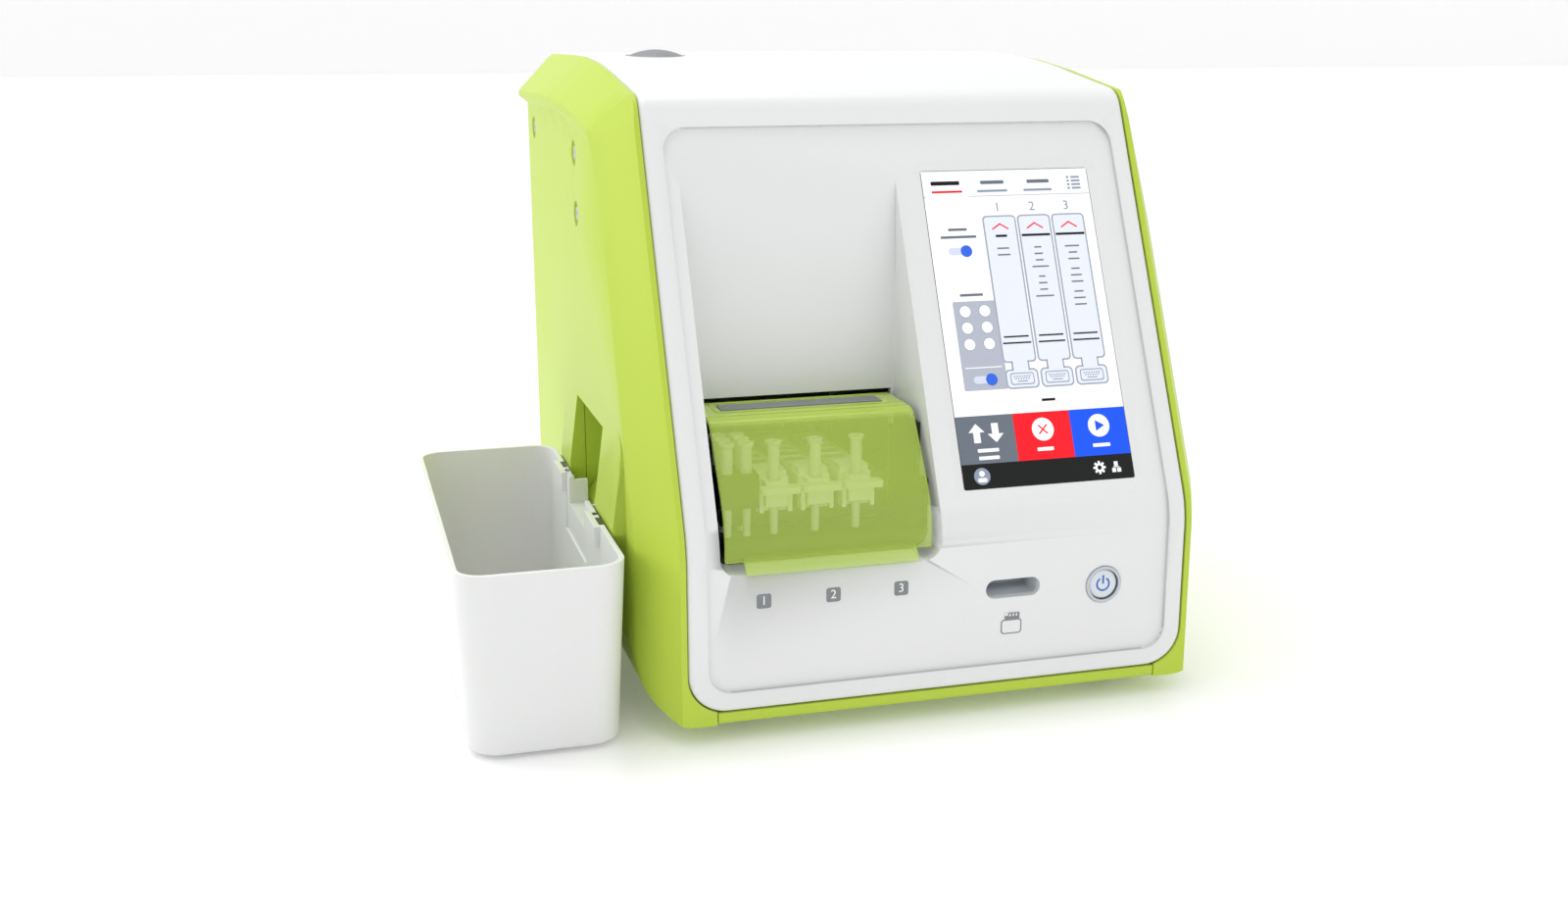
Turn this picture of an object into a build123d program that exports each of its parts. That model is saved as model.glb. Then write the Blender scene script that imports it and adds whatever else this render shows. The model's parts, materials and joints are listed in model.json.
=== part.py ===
"""Bench-top rapid test reader: lime side covers, white front, tilted touch display, lift-up cover over a
motorised three-lane cartridge holder, printer under a lid on top and a hang-on waste bin on the left."""
from build123d import *
from math import cos, hypot, radians, sin, tan
import os

os.makedirs("parts", exist_ok=True)

# ---------------------------------------------------------------- driving dimensions (mm, degrees)
# whole body
body_depth = 342.0            # front rim to rear edge
front_y = -body_depth / 2
rear_y = body_depth / 2
foot_height = 8.5
face_tilt = 25.3              # tilt of the upper front away from upright
kink_height = 92.2            # where the upright lower front meets the tilted face
top_height = 299.2
ridge_drop = 16.7             # corner between the tilted face and the top, before rounding, below the top
ridge_height = top_height - ridge_drop
top_rise = 8.3                # slope of the front part of the top
kink_round = 45.0
ridge_round = 14.0
knee_round = 725.0            # long curve from the rising top to the level top
rear_round = 8.0
fit_gap = 0.4                 # gap left between neighbouring mouldings
running_gap = 0.05            # radial clearance of shafts and pins that turn or slide

# white front panel
panel_width = 242.0
panel_bottom = 14.5
panel_corner = 18.0
rim_width = 9.0               # raised rim round the sunken main face
rim_round = 3.0
face_sink = 2.2               # main face below the rim
panel_wall = 3.0
recess_top = ridge_height - 14.5
recess_corner = 11.0

# green side covers
band_proud = 0.8              # how far the green stays behind the white rim
band_width = 3.0              # narrow front band beside the white panel
chamfer_in = 15.0             # chamfer from the band to the flat side: across ...
chamfer_back = 27.0           # ... and towards the back
body_width = panel_width + 2 * (band_width + chamfer_in)     # between the flat sides
side_x = body_width / 2
cover_wall = 2.6
bottom_round = 22.0
bottom_seam = side_x - 31.0      # half distance between the seams under the body
hood_drop = 21.0              # height of the sloping bevel along the top
hood_lip = 3.0                # upright edge of the hood
hood_tuck = 4.0               # undercut back to the side
hood_flare = 5.0              # overhang at the rear, none at the front
side_screw_places = [
    (-1.8, top_height - 47.5), (-3.8, top_height - 77.6), (rear_y - 24.8, top_height - 42.0),
]
dish_dia = 13.0
dish_depth = 1.6
side_screw_dia = 7.0

# display
screen_width = 85.9
screen_height = 154.2
screen_mid_x = 54.95
screen_mid_up = 94.3          # up the tilted face from the kink
screen_depth = 3.6            # glass below the rim plane
screen_bevel = 4.6
glass_thickness = 1.9
glass_gap = 0.3
lcd_border = 3.0
lcd_thickness = 5.0

# bay, door and cartridge chamber
bay_mid_x = -53.65
bay_width = 104.1
bay_back_y = front_y + 73.0
bay_floor = 76.7
bay_wall = 3.0
bay_corner = 9.0
hinge_height = 138.2
hinge_y = bay_back_y - 3.5
door_width = 97.2
door_wall = 2.2
door_top = 141.2
door_knuckle = 3.0            # radius round the hinge pins
door_pin_dia = 3.0
lip_width = 80.4
lip_reach = 6.4               # pull lip in front of the cover's front wall
label_width = 78.0
label_length = 11.0
label_thickness = 0.5

# front controls
control_height = 57.3
button_x = 80.0
button_dia = 14.4
button_travel = 1.4
ring_dia = 18.0
slot_x = 33.9
slot_height = 59.8
slot_width = 27.0
slot_tall = 9.0

# holder and cartridges
lane_pitch = 19.8
lane_count = 3
lane_mid_x = -52.7
holder_half = 43.0
holder_front = front_y + 37.0
holder_rear = front_y + 122.0
holder_floor = 90.0
holder_travel = 95.0
lane_floor = 96.0
cartridge_width = 15.6
cartridge_front = front_y + 28.0
cartridge_rear = front_y + 118.0
cartridge_top = 112.0
handle_reach = 8.0
handle_length = 7.0
tip_y = front_y + 34.0
tip_top = 130.0
tip_bottom = 86.0
tip_flange_dia = 7.4
tip_neck_dia = 5.4
tip_end_dia = 3.6
tip_bore = 2.4
rack_mid_x = -90.0
rack_pitch = 9.0
rail_dia = 5.0
rail_spread = 47.0            # rails either side of the holder's middle
rail_height = 95.0
rail_front = bay_back_y + 6.0
rail_rear = 70.0
bush_dia = 8.0
bush_length = 5.0
screw_dia = 6.0
screw_height = 79.0

# waste bin and its chute
bin_gap = 6.5                 # bin wall off the flat side
bin_width = 75.5
bin_length = 230.0
bin_front_y = -167.0
bin_rim = 86.7
bin_bottom = 2.0
bin_wall = 2.6
bin_corner = 14.0
bin_taper = 4.0
window_front = -60.0
window_rear = -12.0
window_depth = 17.0
flange_reach = 7.0
chute_front = -72.0
chute_rear = 6.0
chute_top = 126.0
boss_top = 132.0
boss_rise = 5.6
magnet_places = [-97.0, 15.0]
magnet_length = 13.0
small_magnet_length = 5.0
magnet_thickness = 2.2
magnet_height = 8.0

# printer
lid_mid_x = -84.6
lid_width = 64.0
lid_front = 36.0
lid_rear = 128.0
lid_wall = 3.0
latch_dia = 32.0
latch_dome = 4.0
latch_travel = 1.5
paper_width = 57.0
paper_dia = 42.0

# ---------------------------------------------------------------- worked-out places
tilt = radians(face_tilt)
ridge_y = front_y + (ridge_height - kink_height) * tan(tilt)
knee_y = ridge_y + (top_height - ridge_height) / tan(radians(top_rise))
skin = face_sink + panel_wall
bin_right = -(side_x + bin_gap)
bin_left = bin_right - bin_width
# the row's origin is under the middle of bin and body together
mid_x = -(bin_left + side_x + hood_flare) / 2
bay_left = bay_mid_x - bay_width / 2
bay_right = bay_mid_x + bay_width / 2
chute_bottom = bin_rim - window_depth - 0.3     # the bin's sill rests just above it
band_x = panel_width / 2 + band_width
lane_places = [lane_mid_x + (i - (lane_count - 1) / 2) * lane_pitch for i in range(lane_count)]


# ---------------------------------------------------------------- planes and small helpers
def level(z):
    """Horizontal sketch plane at height z: x to the right, y to the back."""
    return Plane(origin=(mid_x, 0, z))


def facing_front(y):
    """Upright plane seen from the front: x to the right, y up, normal towards the user."""
    return Plane(origin=(mid_x, y, 0), x_dir=(1, 0, 0), z_dir=(0, -1, 0))


def facing_right(x):
    """Upright plane seen from the right: x to the back, y up, normal to the right."""
    return Plane(origin=(mid_x + x, 0, 0), x_dir=(0, 1, 0), z_dir=(1, 0, 0))


def on_face(depth):
    """Plane in the tilted face, depth below the rim: x to the right, y up the slope from the kink."""
    return Plane(
        origin=(mid_x, front_y + depth * cos(tilt), kink_height - depth * sin(tilt)),
        x_dir=(1, 0, 0),
        z_dir=(0, -cos(tilt), sin(tilt)),
    )


def nearest(points, x, y):
    """The corner of a sketch that lies nearest to a place."""
    return min(points, key=lambda p: (p.X - x) ** 2 + (p.Y - y) ** 2)


def body_outline(bottom, inset=0.0):
    """Side view of the body: upright front, tilted face, ridge, rising top, upright rear."""
    with BuildSketch() as outline:
        with BuildLine():
            Polyline(
                (front_y, bottom),
                (front_y, kink_height),
                (ridge_y, ridge_height),
                (knee_y, top_height),
                (rear_y, top_height),
                (rear_y, bottom),
                close=True,
            )
        make_face()
        fillet(nearest(vertices(), front_y, kink_height), kink_round)
        fillet(nearest(vertices(), ridge_y, ridge_height), ridge_round)
        fillet(nearest(vertices(), knee_y, top_height), knee_round)
        fillet(nearest(vertices(), rear_y, top_height), rear_round)
        if inset:
            offset(amount=-inset, mode=Mode.REPLACE)
    return outline.sketch


def block(x0, x1, y0, y1, z0, z1, mode=Mode.ADD):
    """A square-cornered block between two corners, given in the body's own measures."""
    with Locations((mid_x + (x0 + x1) / 2, (y0 + y1) / 2, (z0 + z1) / 2)):
        Box(x1 - x0, y1 - y0, z1 - z0, mode=mode)


def post(x, y, z0, z1, dia, mode=Mode.ADD):
    """An upright round post or, subtracted, a hole."""
    with Locations((mid_x + x, y, (z0 + z1) / 2)):
        Cylinder(dia / 2, z1 - z0, mode=mode)


def rod_x(x0, x1, y, z, dia, mode=Mode.ADD):
    """A round rod or hole that lies across the body."""
    with Locations((mid_x + (x0 + x1) / 2, y, z)):
        Cylinder(dia / 2, x1 - x0, rotation=(0, 90, 0), mode=mode)


def rod_y(x, y0, y1, z, dia, mode=Mode.ADD):
    """A round rod or hole that lies along the depth."""
    with Locations((mid_x + x, (y0 + y1) / 2, z)):
        Cylinder(dia / 2, y1 - y0, rotation=(90, 0, 0), mode=mode)


def write(builder, name):
    """Label a finished piece and write its STEP file."""
    builder.part.label = name
    export_step(builder.part, f"parts/{name}.step")


# ---------------------------------------------------------------- front panel
def panel_envelope(grow):
    """The solid that the white panel wraps, made larger all round by a gap."""
    with BuildPart() as envelope:
        with BuildSketch(facing_right(-panel_width / 2 - grow)):
            add(body_outline(panel_bottom - grow, 0))
        extrude(amount=panel_width + 2 * grow)
        lower = envelope.edges().filter_by(Axis.Y).group_by(Axis.Z)[0]
        fillet(lower, panel_corner + grow)
    return envelope.part


with BuildPart() as recess_cut:
    with BuildSketch(facing_front(front_y - 5)):
        with Locations((0, (panel_bottom + rim_width + recess_top) / 2)):
            RectangleRounded(
                panel_width - 2 * rim_width, recess_top - panel_bottom - rim_width, recess_corner
            )
    extrude(amount=-(ridge_y - front_y + 40))
    with BuildSketch(facing_right(-panel_width)):
        add(body_outline(panel_bottom, face_sink))
    extrude(amount=2 * panel_width, mode=Mode.SUBTRACT)


# bay: a pocket with an upright back wall, so it deepens downwards
with BuildPart() as bay_walls:
    with BuildSketch(facing_right(bay_left - bay_wall)):
        add(body_outline(panel_bottom, face_sink + 1))
    extrude(amount=bay_width + 2 * bay_wall)
    block(bay_left - 9, bay_right + 9, bay_back_y + bay_wall, rear_y + 5, 0, top_height, Mode.SUBTRACT)
    block(bay_left - 9, bay_right + 9, front_y - 5, rear_y, 0, bay_floor - bay_wall, Mode.SUBTRACT)

with BuildPart() as screen_cut:
    with BuildSketch(on_face(face_sink - 0.01)):
        with Locations((screen_mid_x, screen_mid_up)):
            RectangleRounded(screen_width + 2 * screen_bevel, screen_height + 2 * screen_bevel, 6)
    with BuildSketch(on_face(screen_depth)):
        with Locations((screen_mid_x, screen_mid_up)):
            RectangleRounded(screen_width + 2 * glass_gap, screen_height + 2 * glass_gap, 1.2)
    loft()
    with BuildSketch(on_face(screen_depth - 0.01)):
        with Locations((screen_mid_x, screen_mid_up)):
            RectangleRounded(screen_width + 2 * glass_gap, screen_height + 2 * glass_gap, 1.2)
    extrude(amount=-skin)

bracket_depth = screen_depth + glass_thickness + lcd_thickness
boss_places = [
    (screen_mid_x + i * (screen_width / 2 + 7), screen_mid_up + j * (screen_height / 2 - 12))
    for i in (-1, 1)
    for j in (-1, 1)
]
boss_dia = 6.0

lid_left = lid_mid_x - lid_width / 2
lid_pivot_z = top_height - 1.7
lid_pivot_y = lid_rear - 1.6
lid_pin_dia = 2.0

with BuildPart() as lid_window:
    with BuildSketch(level(top_height - 30)):
        with Locations((lid_mid_x, (lid_front + lid_rear) / 2)):
            RectangleRounded(lid_width + 2 * fit_gap, lid_rear - lid_front + 2 * fit_gap, 1.2)
    extrude(amount=40)

with BuildPart() as front_panel:
    add(panel_envelope(0))
    fillet(front_panel.edges().filter_by(Axis.Z).group_by(Axis.Y)[0], rim_round)
    with BuildSketch(facing_right(-panel_width)):
        add(body_outline(panel_bottom, skin))
    extrude(amount=2 * panel_width, mode=Mode.SUBTRACT)
    block(-panel_width, panel_width, front_y + 16, rear_y + 5, 0, panel_bottom + skin + 5, Mode.SUBTRACT)
    block(-panel_width, panel_width, rear_y - 20, rear_y + 5, 0, top_height - 12, Mode.SUBTRACT)
    add(recess_cut.part, mode=Mode.SUBTRACT)
    add(bay_walls.part)
    with BuildSketch(facing_front(front_y - 5)):
        with Locations((bay_mid_x, bay_floor + 110)):
            RectangleRounded(bay_width, 220, bay_corner)
    extrude(amount=-(bay_back_y - front_y + 5), mode=Mode.SUBTRACT)
    block(
        bay_left + 1, bay_right - 1, bay_back_y - 1, bay_back_y + 5, bay_floor + 1, door_top + 1.4,
        Mode.SUBTRACT,
    )
    rod_x(
        bay_left - 1.5, bay_right + 1.5, hinge_y, hinge_height, door_pin_dia + 2 * running_gap,
        Mode.SUBTRACT,
    )
    add(screen_cut.part, mode=Mode.SUBTRACT)
    with BuildSketch(on_face(skin - 0.2)):
        with Locations(*boss_places):
            Circle(boss_dia / 2)
    extrude(amount=-(bracket_depth - skin + 0.2))
    rod_y(button_x, front_y - 1, front_y + skin + 1, control_height, ring_dia + 0.3, Mode.SUBTRACT)
    with BuildSketch(facing_front(front_y - 1)):
        with Locations((slot_x, slot_height)):
            RectangleRounded(slot_width, slot_tall, slot_tall / 2 - 0.1)
    extrude(amount=-(skin + 2), mode=Mode.SUBTRACT)
    add(lid_window.part, mode=Mode.SUBTRACT)
    rod_x(
        lid_left - 2.8, lid_left + lid_width + 2.8, lid_pivot_y, lid_pivot_z, lid_pin_dia + 2 * running_gap,
        Mode.SUBTRACT,
    )
write(front_panel, "front_panel")


# ---------------------------------------------------------------- green side covers
def top_line(y):
    """Height of the rising and level top at a place along the depth."""
    reach = knee_round * tan(radians(top_rise) / 2)
    level_from = knee_y + reach
    rise_to = knee_y - reach * cos(radians(top_rise))
    if y > level_from:
        return top_height
    if y < rise_to:
        return ridge_height + (y - ridge_y) * tan(radians(top_rise))
    return top_height - knee_round + (knee_round**2 - (level_from - y) ** 2) ** 0.5


hood_front = -58.0
hood_full = 95.0
hood_stations = [front_y - 5, hood_front, -19.0, 20.0, 57.0, hood_full, rear_y]


def side_section(y, inset, inner_x):
    """Front view of the right-hand side at one place: bottom, flat side, hood lip, bevel and top."""
    flare = hood_flare * min(max((y - hood_front) / (hood_full - hood_front), 0), 1)
    top = top_line(y) - band_proud
    wall_x = side_x - inset
    tuck_end = top - hood_drop - hood_lip - hood_tuck + 0.45 * inset
    lip_low = top - hood_drop - hood_lip + 0.5 * inset
    lip_high = max(top - hood_drop - 0.4 * inset, lip_low + 0.1)
    with BuildSketch() as section:
        with BuildLine():
            Polyline(
                (inner_x, foot_height + inset),
                (wall_x, foot_height + inset),
                (wall_x, tuck_end),
                (wall_x + flare, lip_low),
                (wall_x + flare, lip_high),
                (band_x, top - 1.45 * inset),
                (inner_x, top - 1.45 * inset),
                close=True,
            )
        make_face()
        fillet(nearest(vertices(), wall_x, foot_height + inset), bottom_round - inset)
    return section.sketch


def side_form(inset, inner_x):
    """Everything inside the right-hand outer skin, from inner_x outwards, moved in by inset."""
    start_x = band_x - 0.6 * inset
    with BuildPart() as form:
        with BuildSketch(facing_right(inner_x - 3)):
            add(body_outline(0, band_proud + inset))
        extrude(amount=start_x - inner_x + 3)
        with BuildSketch(facing_right(start_x)):
            add(body_outline(0, band_proud + inset))
        extrude(amount=1.5 * hypot(chamfer_in, chamfer_back), dir=(chamfer_in, chamfer_back, 0))
    with BuildPart() as limits:
        for y in hood_stations:
            with BuildSketch(facing_front(y)):
                add(side_section(y, inset, inner_x))
        loft(ruled=True)
    with BuildPart() as both:
        add(form.part)
        add(limits.part, mode=Mode.INTERSECT)
    return both.part


side_outer = side_form(0, bottom_seam)
side_inner = side_form(cover_wall, bottom_seam - 5)
corner_turn = (0.911, -0.332, 0.244)


def corner_cut(inset):
    """Plane of the small facet between the hood and the front chamfer."""
    start = Vector(mid_x + side_x - 1, hood_front + 2, top_height - 41.0) - Vector(*corner_turn) * inset
    return Plane(origin=start, x_dir=(0, 0, 1), z_dir=corner_turn)


screw_boss_dia = 11.0
screw_boss_length = 9.0
side_screw_shank = 3.0

with BuildPart() as side_shell:
    add(side_outer)
    split(bisect_by=corner_cut(0), keep=Keep.BOTTOM)
    add(side_inner.split(corner_cut(cover_wall), keep=Keep.BOTTOM), mode=Mode.SUBTRACT)
    with BuildSketch(facing_front(rear_y + 5)):
        add(side_section(rear_y, cover_wall, bottom_seam - 5))
    extrude(amount=30, mode=Mode.SUBTRACT)
    add(panel_envelope(fit_gap), mode=Mode.SUBTRACT)
    for y, z in side_screw_places:
        rod_x(side_x - cover_wall - screw_boss_length, side_x - dish_depth, y, z, screw_boss_dia)
    for y, z in side_screw_places:
        rod_x(side_x - dish_depth, side_x + 9, y, z, dish_dia, Mode.SUBTRACT)
        rod_x(side_x - cover_wall - screw_boss_length - 1, side_x, y, z, side_screw_shank, Mode.SUBTRACT)
write(side_shell, "right_cover")

middle = Plane(origin=(mid_x, 0, 0), z_dir=(1, 0, 0))
boss_front = -122.0
boss_rear = 38.0
boss_low = 36.0

with BuildPart() as hang_boss:
    with BuildSketch(facing_front(boss_front)):
        with BuildLine():
            Polyline(
                (-side_x + 1, boss_top),
                (-side_x, boss_top),
                (-side_x - boss_rise, bin_rim + 4),
                (-side_x - boss_rise, boss_low + 8),
                (-side_x, boss_low),
                (-side_x + 1, boss_low),
                close=True,
            )
        make_face()
    extrude(amount=-(boss_rear - boss_front))
    with BuildSketch(facing_right(-side_x - boss_rise - 5)):
        with Locations(((boss_front + boss_rear) / 2, boss_top - 100)):
            RectangleRounded(boss_rear - boss_front, 200, 16)
    extrude(amount=20, mode=Mode.INTERSECT)

with BuildPart() as left_cover:
    add(side_shell.part.mirror(middle))
    add(hang_boss.part)
    block(
        -side_x - boss_rise - 1, -side_x + 20, chute_front, chute_rear, chute_bottom, chute_top,
        Mode.SUBTRACT
    )
write(left_cover, "left_cover")

# ---------------------------------------------------------------- rear panel, base plate, feet
rear_plane = rear_y - 9.0
rear_wall = 2.6
fan_x = 62.0
fan_z = 190.0
fan_size = 60.0
fan_depth = 15.0
fan_bore = 56.0
fan_hole_pitch = 50.0
inlet_x = -62.0
inlet_z = 40.0
inlet_width = 27.0
inlet_tall = 20.0
switch_z = 68.0
switch_width = 20.0
switch_tall = 13.0
port_x = 20.0
port_z = 44.0
port_width = 46.0
port_tall = 16.0
slot_count = 9
vent_pitch = 7.0
rear_screw_places = [
    (side * (side_x - inset), z)
    for inset, z in ((21, 30), (21, 150), (39, top_height - 37.2))
    for side in (-1, 1)
]
screw_head_dia = 6.0
screw_head = 2.0
screw_shank = 3.0

with BuildPart() as rear_panel:
    with BuildSketch(facing_front(rear_plane)):
        add(side_section(rear_y, cover_wall + 2 * fit_gap, 0))
        mirror(about=Plane.YZ)
        with Locations((0, top_height)):
            Rectangle(panel_width + 2, 2 * (skin + fit_gap + band_proud), mode=Mode.SUBTRACT)
        with Locations((fan_x, fan_z)):
            Circle(fan_bore / 2, mode=Mode.SUBTRACT)
        with Locations((inlet_x, inlet_z)):
            Rectangle(inlet_width + fit_gap, inlet_tall + fit_gap, mode=Mode.SUBTRACT)
        with Locations((inlet_x, switch_z)):
            Rectangle(switch_width + fit_gap, switch_tall + fit_gap, mode=Mode.SUBTRACT)
        with Locations((port_x, port_z)):
            Rectangle(port_width + fit_gap, port_tall + fit_gap, mode=Mode.SUBTRACT)
        with Locations((inlet_x, 190)):
            with GridLocations(0, vent_pitch, 1, slot_count):
                SlotOverall(70, 3, mode=Mode.SUBTRACT)
        with Locations(*rear_screw_places):
            Circle(screw_shank / 2 + 0.2, mode=Mode.SUBTRACT)
    extrude(amount=-rear_wall)
    for x in (fan_x - fan_hole_pitch / 2, fan_x + fan_hole_pitch / 2):
        for z in (fan_z - fan_hole_pitch / 2, fan_z + fan_hole_pitch / 2):
            rod_y(x, rear_plane - 1, rear_plane + 5, z, screw_shank, Mode.SUBTRACT)
    # guard rings and spokes over the fan opening
    with BuildSketch(facing_front(rear_plane)):
        with Locations((fan_x, fan_z)):
            for ring in (10.0, 19.0):
                Circle(ring)
                Circle(ring - 1.6, mode=Mode.SUBTRACT)
            for turn in (0, 45, 90, 135):
                Rectangle(fan_bore + 1, 1.8, rotation=turn)
    extrude(amount=-rear_wall)
write(rear_panel, "rear_panel")

foot_dia = 18.0
foot_inset = 33.0
foot_places = [(x, y) for x in (-92, 92) for y in (front_y + foot_inset, rear_y - foot_inset)]
base_wall = 3.0
base_top = foot_height + base_wall

with BuildPart() as base_plate:
    block(
        -bottom_seam + fit_gap,
        bottom_seam - fit_gap,
        front_y + band_proud,
        rear_plane - fit_gap,
        foot_height,
        base_top,
    )
    block(
        -bottom_seam + fit_gap,
        bottom_seam - fit_gap,
        front_y + band_proud,
        front_y + 7,
        foot_height,
        panel_bottom - fit_gap,
    )
    fillet(base_plate.edges().filter_by(Axis.X).group_by(Axis.Y)[0].sort_by(Axis.Z)[0], 2.5)
    for x, y in foot_places:
        post(x, y, base_top, base_top + 5, foot_dia * 0.6)
        post(x, y, foot_height - 1, base_top + 3, screw_shank, Mode.SUBTRACT)
    for x in (15, 95):
        for y in (-114, -45, 24):
            post(x, y, base_top - 0.5, base_top + 6, 6)
    with BuildSketch(level(foot_height)):
        with Locations((0, 60)):
            with GridLocations(0, vent_pitch, 1, slot_count):
                SlotOverall(60, 3)
    extrude(amount=base_wall, mode=Mode.SUBTRACT)
write(base_plate, "base_plate")

with BuildPart() as feet:
    for x, y in foot_places:
        with BuildSketch(level(0)):
            with Locations((x, y)):
                Circle(foot_dia / 2 - 1.2)
        with BuildSketch(level(foot_height)):
            with Locations((x, y)):
                Circle(foot_dia / 2)
        loft()
        post(x, y, 0, 3, 7, Mode.SUBTRACT)
        post(x, y, 2, foot_height + 1, screw_shank, Mode.SUBTRACT)
write(feet, "feet")

with BuildPart() as foot_screws:
    for x, y in foot_places:
        post(x, y, 1.2, 3, screw_head_dia - 0.4)
        post(x, y, 2.9, base_top + 2, screw_shank - 0.2)
write(foot_screws, "foot_screws")

with BuildPart() as side_screws:
    for side in (-1, 1):
        face = side * (side_x - dish_depth)
        for y, z in side_screw_places:
            rod_x(min(face, face + side * 1.2), max(face, face + side * 1.2), y, z, side_screw_dia)
            rod_x(min(face, face - side * 9), max(face, face - side * 9), y, z, side_screw_shank - 0.2)
            rod_x(
                min(face + side * 0.5, face + side * 2), max(face + side * 0.5, face + side * 2), y, z,
                2.6, Mode.SUBTRACT,
            )
write(side_screws, "side_screws")

with BuildPart() as rear_screws:
    for x, z in rear_screw_places:
        rod_y(x, rear_plane + rear_wall, rear_plane + rear_wall + screw_head, z, screw_head_dia)
        rod_y(x, rear_plane - 8, rear_plane + rear_wall, z, screw_shank - 0.2)
        rod_y(x, rear_plane + rear_wall + 1, rear_plane + rear_wall + 3, z, 2.4, Mode.SUBTRACT)
write(rear_screws, "rear_screws")

# ---------------------------------------------------------------- display
with BuildPart() as screen_glass:
    with BuildSketch(on_face(screen_depth)):
        with Locations((screen_mid_x, screen_mid_up)):
            RectangleRounded(screen_width, screen_height, 1)
    extrude(amount=-glass_thickness)
write(screen_glass, "screen_glass")

with BuildPart() as display_module:
    with BuildSketch(on_face(screen_depth + glass_thickness)):
        with Locations((screen_mid_x, screen_mid_up)):
            Rectangle(screen_width + 2 * lcd_border, screen_height + 2 * lcd_border)
    extrude(amount=-lcd_thickness)
write(display_module, "display_module")

bracket_wall = 1.5
with BuildPart() as display_bracket:
    with BuildSketch(on_face(bracket_depth)):
        with Locations((screen_mid_x, screen_mid_up)):
            Rectangle(screen_width + 20, screen_height + 2 * lcd_border)
            Rectangle(screen_width - 24, screen_height - 40, mode=Mode.SUBTRACT)
        with Locations(*boss_places):
            Circle(screw_shank / 2 + 0.2, mode=Mode.SUBTRACT)
    extrude(amount=-bracket_wall)
write(display_bracket, "display_bracket")

with BuildPart() as display_board:
    with BuildSketch(on_face(bracket_depth + bracket_wall)):
        with Locations((screen_mid_x, screen_mid_up)):
            Rectangle(screen_width - 10, screen_height - 30)
    extrude(amount=-1.6)
    with BuildSketch(on_face(bracket_depth + bracket_wall + 1.6)):
        with Locations((screen_mid_x, screen_mid_up)):
            with GridLocations(26, 36, 2, 3):
                Rectangle(14, 14)
    extrude(amount=-2.5)
write(display_board, "display_board")

with BuildPart() as display_screws:
    with BuildSketch(on_face(bracket_depth + bracket_wall)):
        with Locations(*boss_places):
            Circle(screw_head_dia / 2 - 0.4)
    extrude(amount=-screw_head)
    with BuildSketch(on_face(bracket_depth)):
        with Locations(*boss_places):
            Circle(screw_shank / 2)
    extrude(amount=-bracket_wall)
write(display_screws, "display_screws")

# ---------------------------------------------------------------- power button and chip socket
main_face_y = front_y + face_sink
with BuildPart() as button_ring:
    rod_y(button_x, main_face_y - 0.6, main_face_y + 6, control_height, ring_dia)
    fillet(button_ring.edges().group_by(Axis.Y)[0], 0.5)
    rod_y(button_x, main_face_y - 2, main_face_y + 8, control_height, button_dia + 0.4, Mode.SUBTRACT)
    rod_y(button_x, main_face_y + skin - face_sink, main_face_y + 6, control_height, ring_dia + 5)
    rod_y(button_x, main_face_y - 2, main_face_y + 8, control_height, button_dia + 0.4, Mode.SUBTRACT)
write(button_ring, "button_ring")

with BuildPart() as power_button:
    rod_y(button_x, main_face_y + 0.4, main_face_y + 7, control_height, button_dia)
    fillet(power_button.edges().group_by(Axis.Y)[0], 1.0)
    rod_y(button_x, main_face_y + 7, main_face_y + 9, control_height, 4)
write(power_button, "power_button")

switch_front = main_face_y + 9 + button_travel + 0.3
with BuildPart() as button_switch:
    block(
        button_x - 14, button_x + 14, switch_front, switch_front + 1.6, control_height - 12,
        control_height + 12,
    )
    block(
        button_x - 6, button_x + 6, switch_front + 1.6, switch_front + 5, control_height - 6,
        control_height + 6,
    )
    for x in (-12.5, 12.5):
        block(
            button_x + x - 1.5, button_x + x + 1.5, main_face_y + 6, switch_front,
            control_height - 12, control_height + 12,
        )
write(button_switch, "button_switch")

with BuildPart() as chip_socket:
    with BuildSketch(facing_front(main_face_y + panel_wall)):
        with Locations((slot_x, slot_height)):
            Rectangle(slot_width + 6, slot_tall + 6)
    extrude(amount=-14)
    with BuildSketch(facing_front(main_face_y + panel_wall - 0.1)):
        with Locations((slot_x, slot_height)):
            RectangleRounded(slot_width - 1, slot_tall - 1, 2)
    with BuildSketch(facing_front(main_face_y + panel_wall + 6)):
        with Locations((slot_x, slot_height)):
            RectangleRounded(slot_width - 5, 4.6, 0.6)
    loft(mode=Mode.SUBTRACT)
    block(
        slot_x - slot_width / 2 + 2.5, slot_x + slot_width / 2 - 2.5, main_face_y + 8, main_face_y + 15,
        slot_height - 2.3, slot_height + 2.3, Mode.SUBTRACT,
    )
write(chip_socket, "chip_socket")

# ---------------------------------------------------------------- lift-up cover over the holder
door_front_low = front_y + 6.5
door_bend_y = front_y + 35.0
label_y = hinge_y - 13.0
door_bend_z = 104.0
door_low = 82.0
door_left = bay_mid_x - door_width / 2
lip_left = bay_mid_x - lip_width / 2


def door_outline():
    """Side view of the space under the cover: level top, tilted upper front, upright lower front."""
    with BuildSketch() as outline:
        with BuildLine():
            Polyline(
                (hinge_y, door_top),
                (door_bend_y, door_top),
                (door_front_low, door_bend_z - 4),
                (door_front_low, door_low),
                (hinge_y, door_low),
                close=True,
            )
        make_face()
        fillet(nearest(vertices(), door_bend_y, door_top), 9)
        fillet(nearest(vertices(), door_front_low, door_bend_z - 4), 40)
    return outline.sketch


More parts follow.
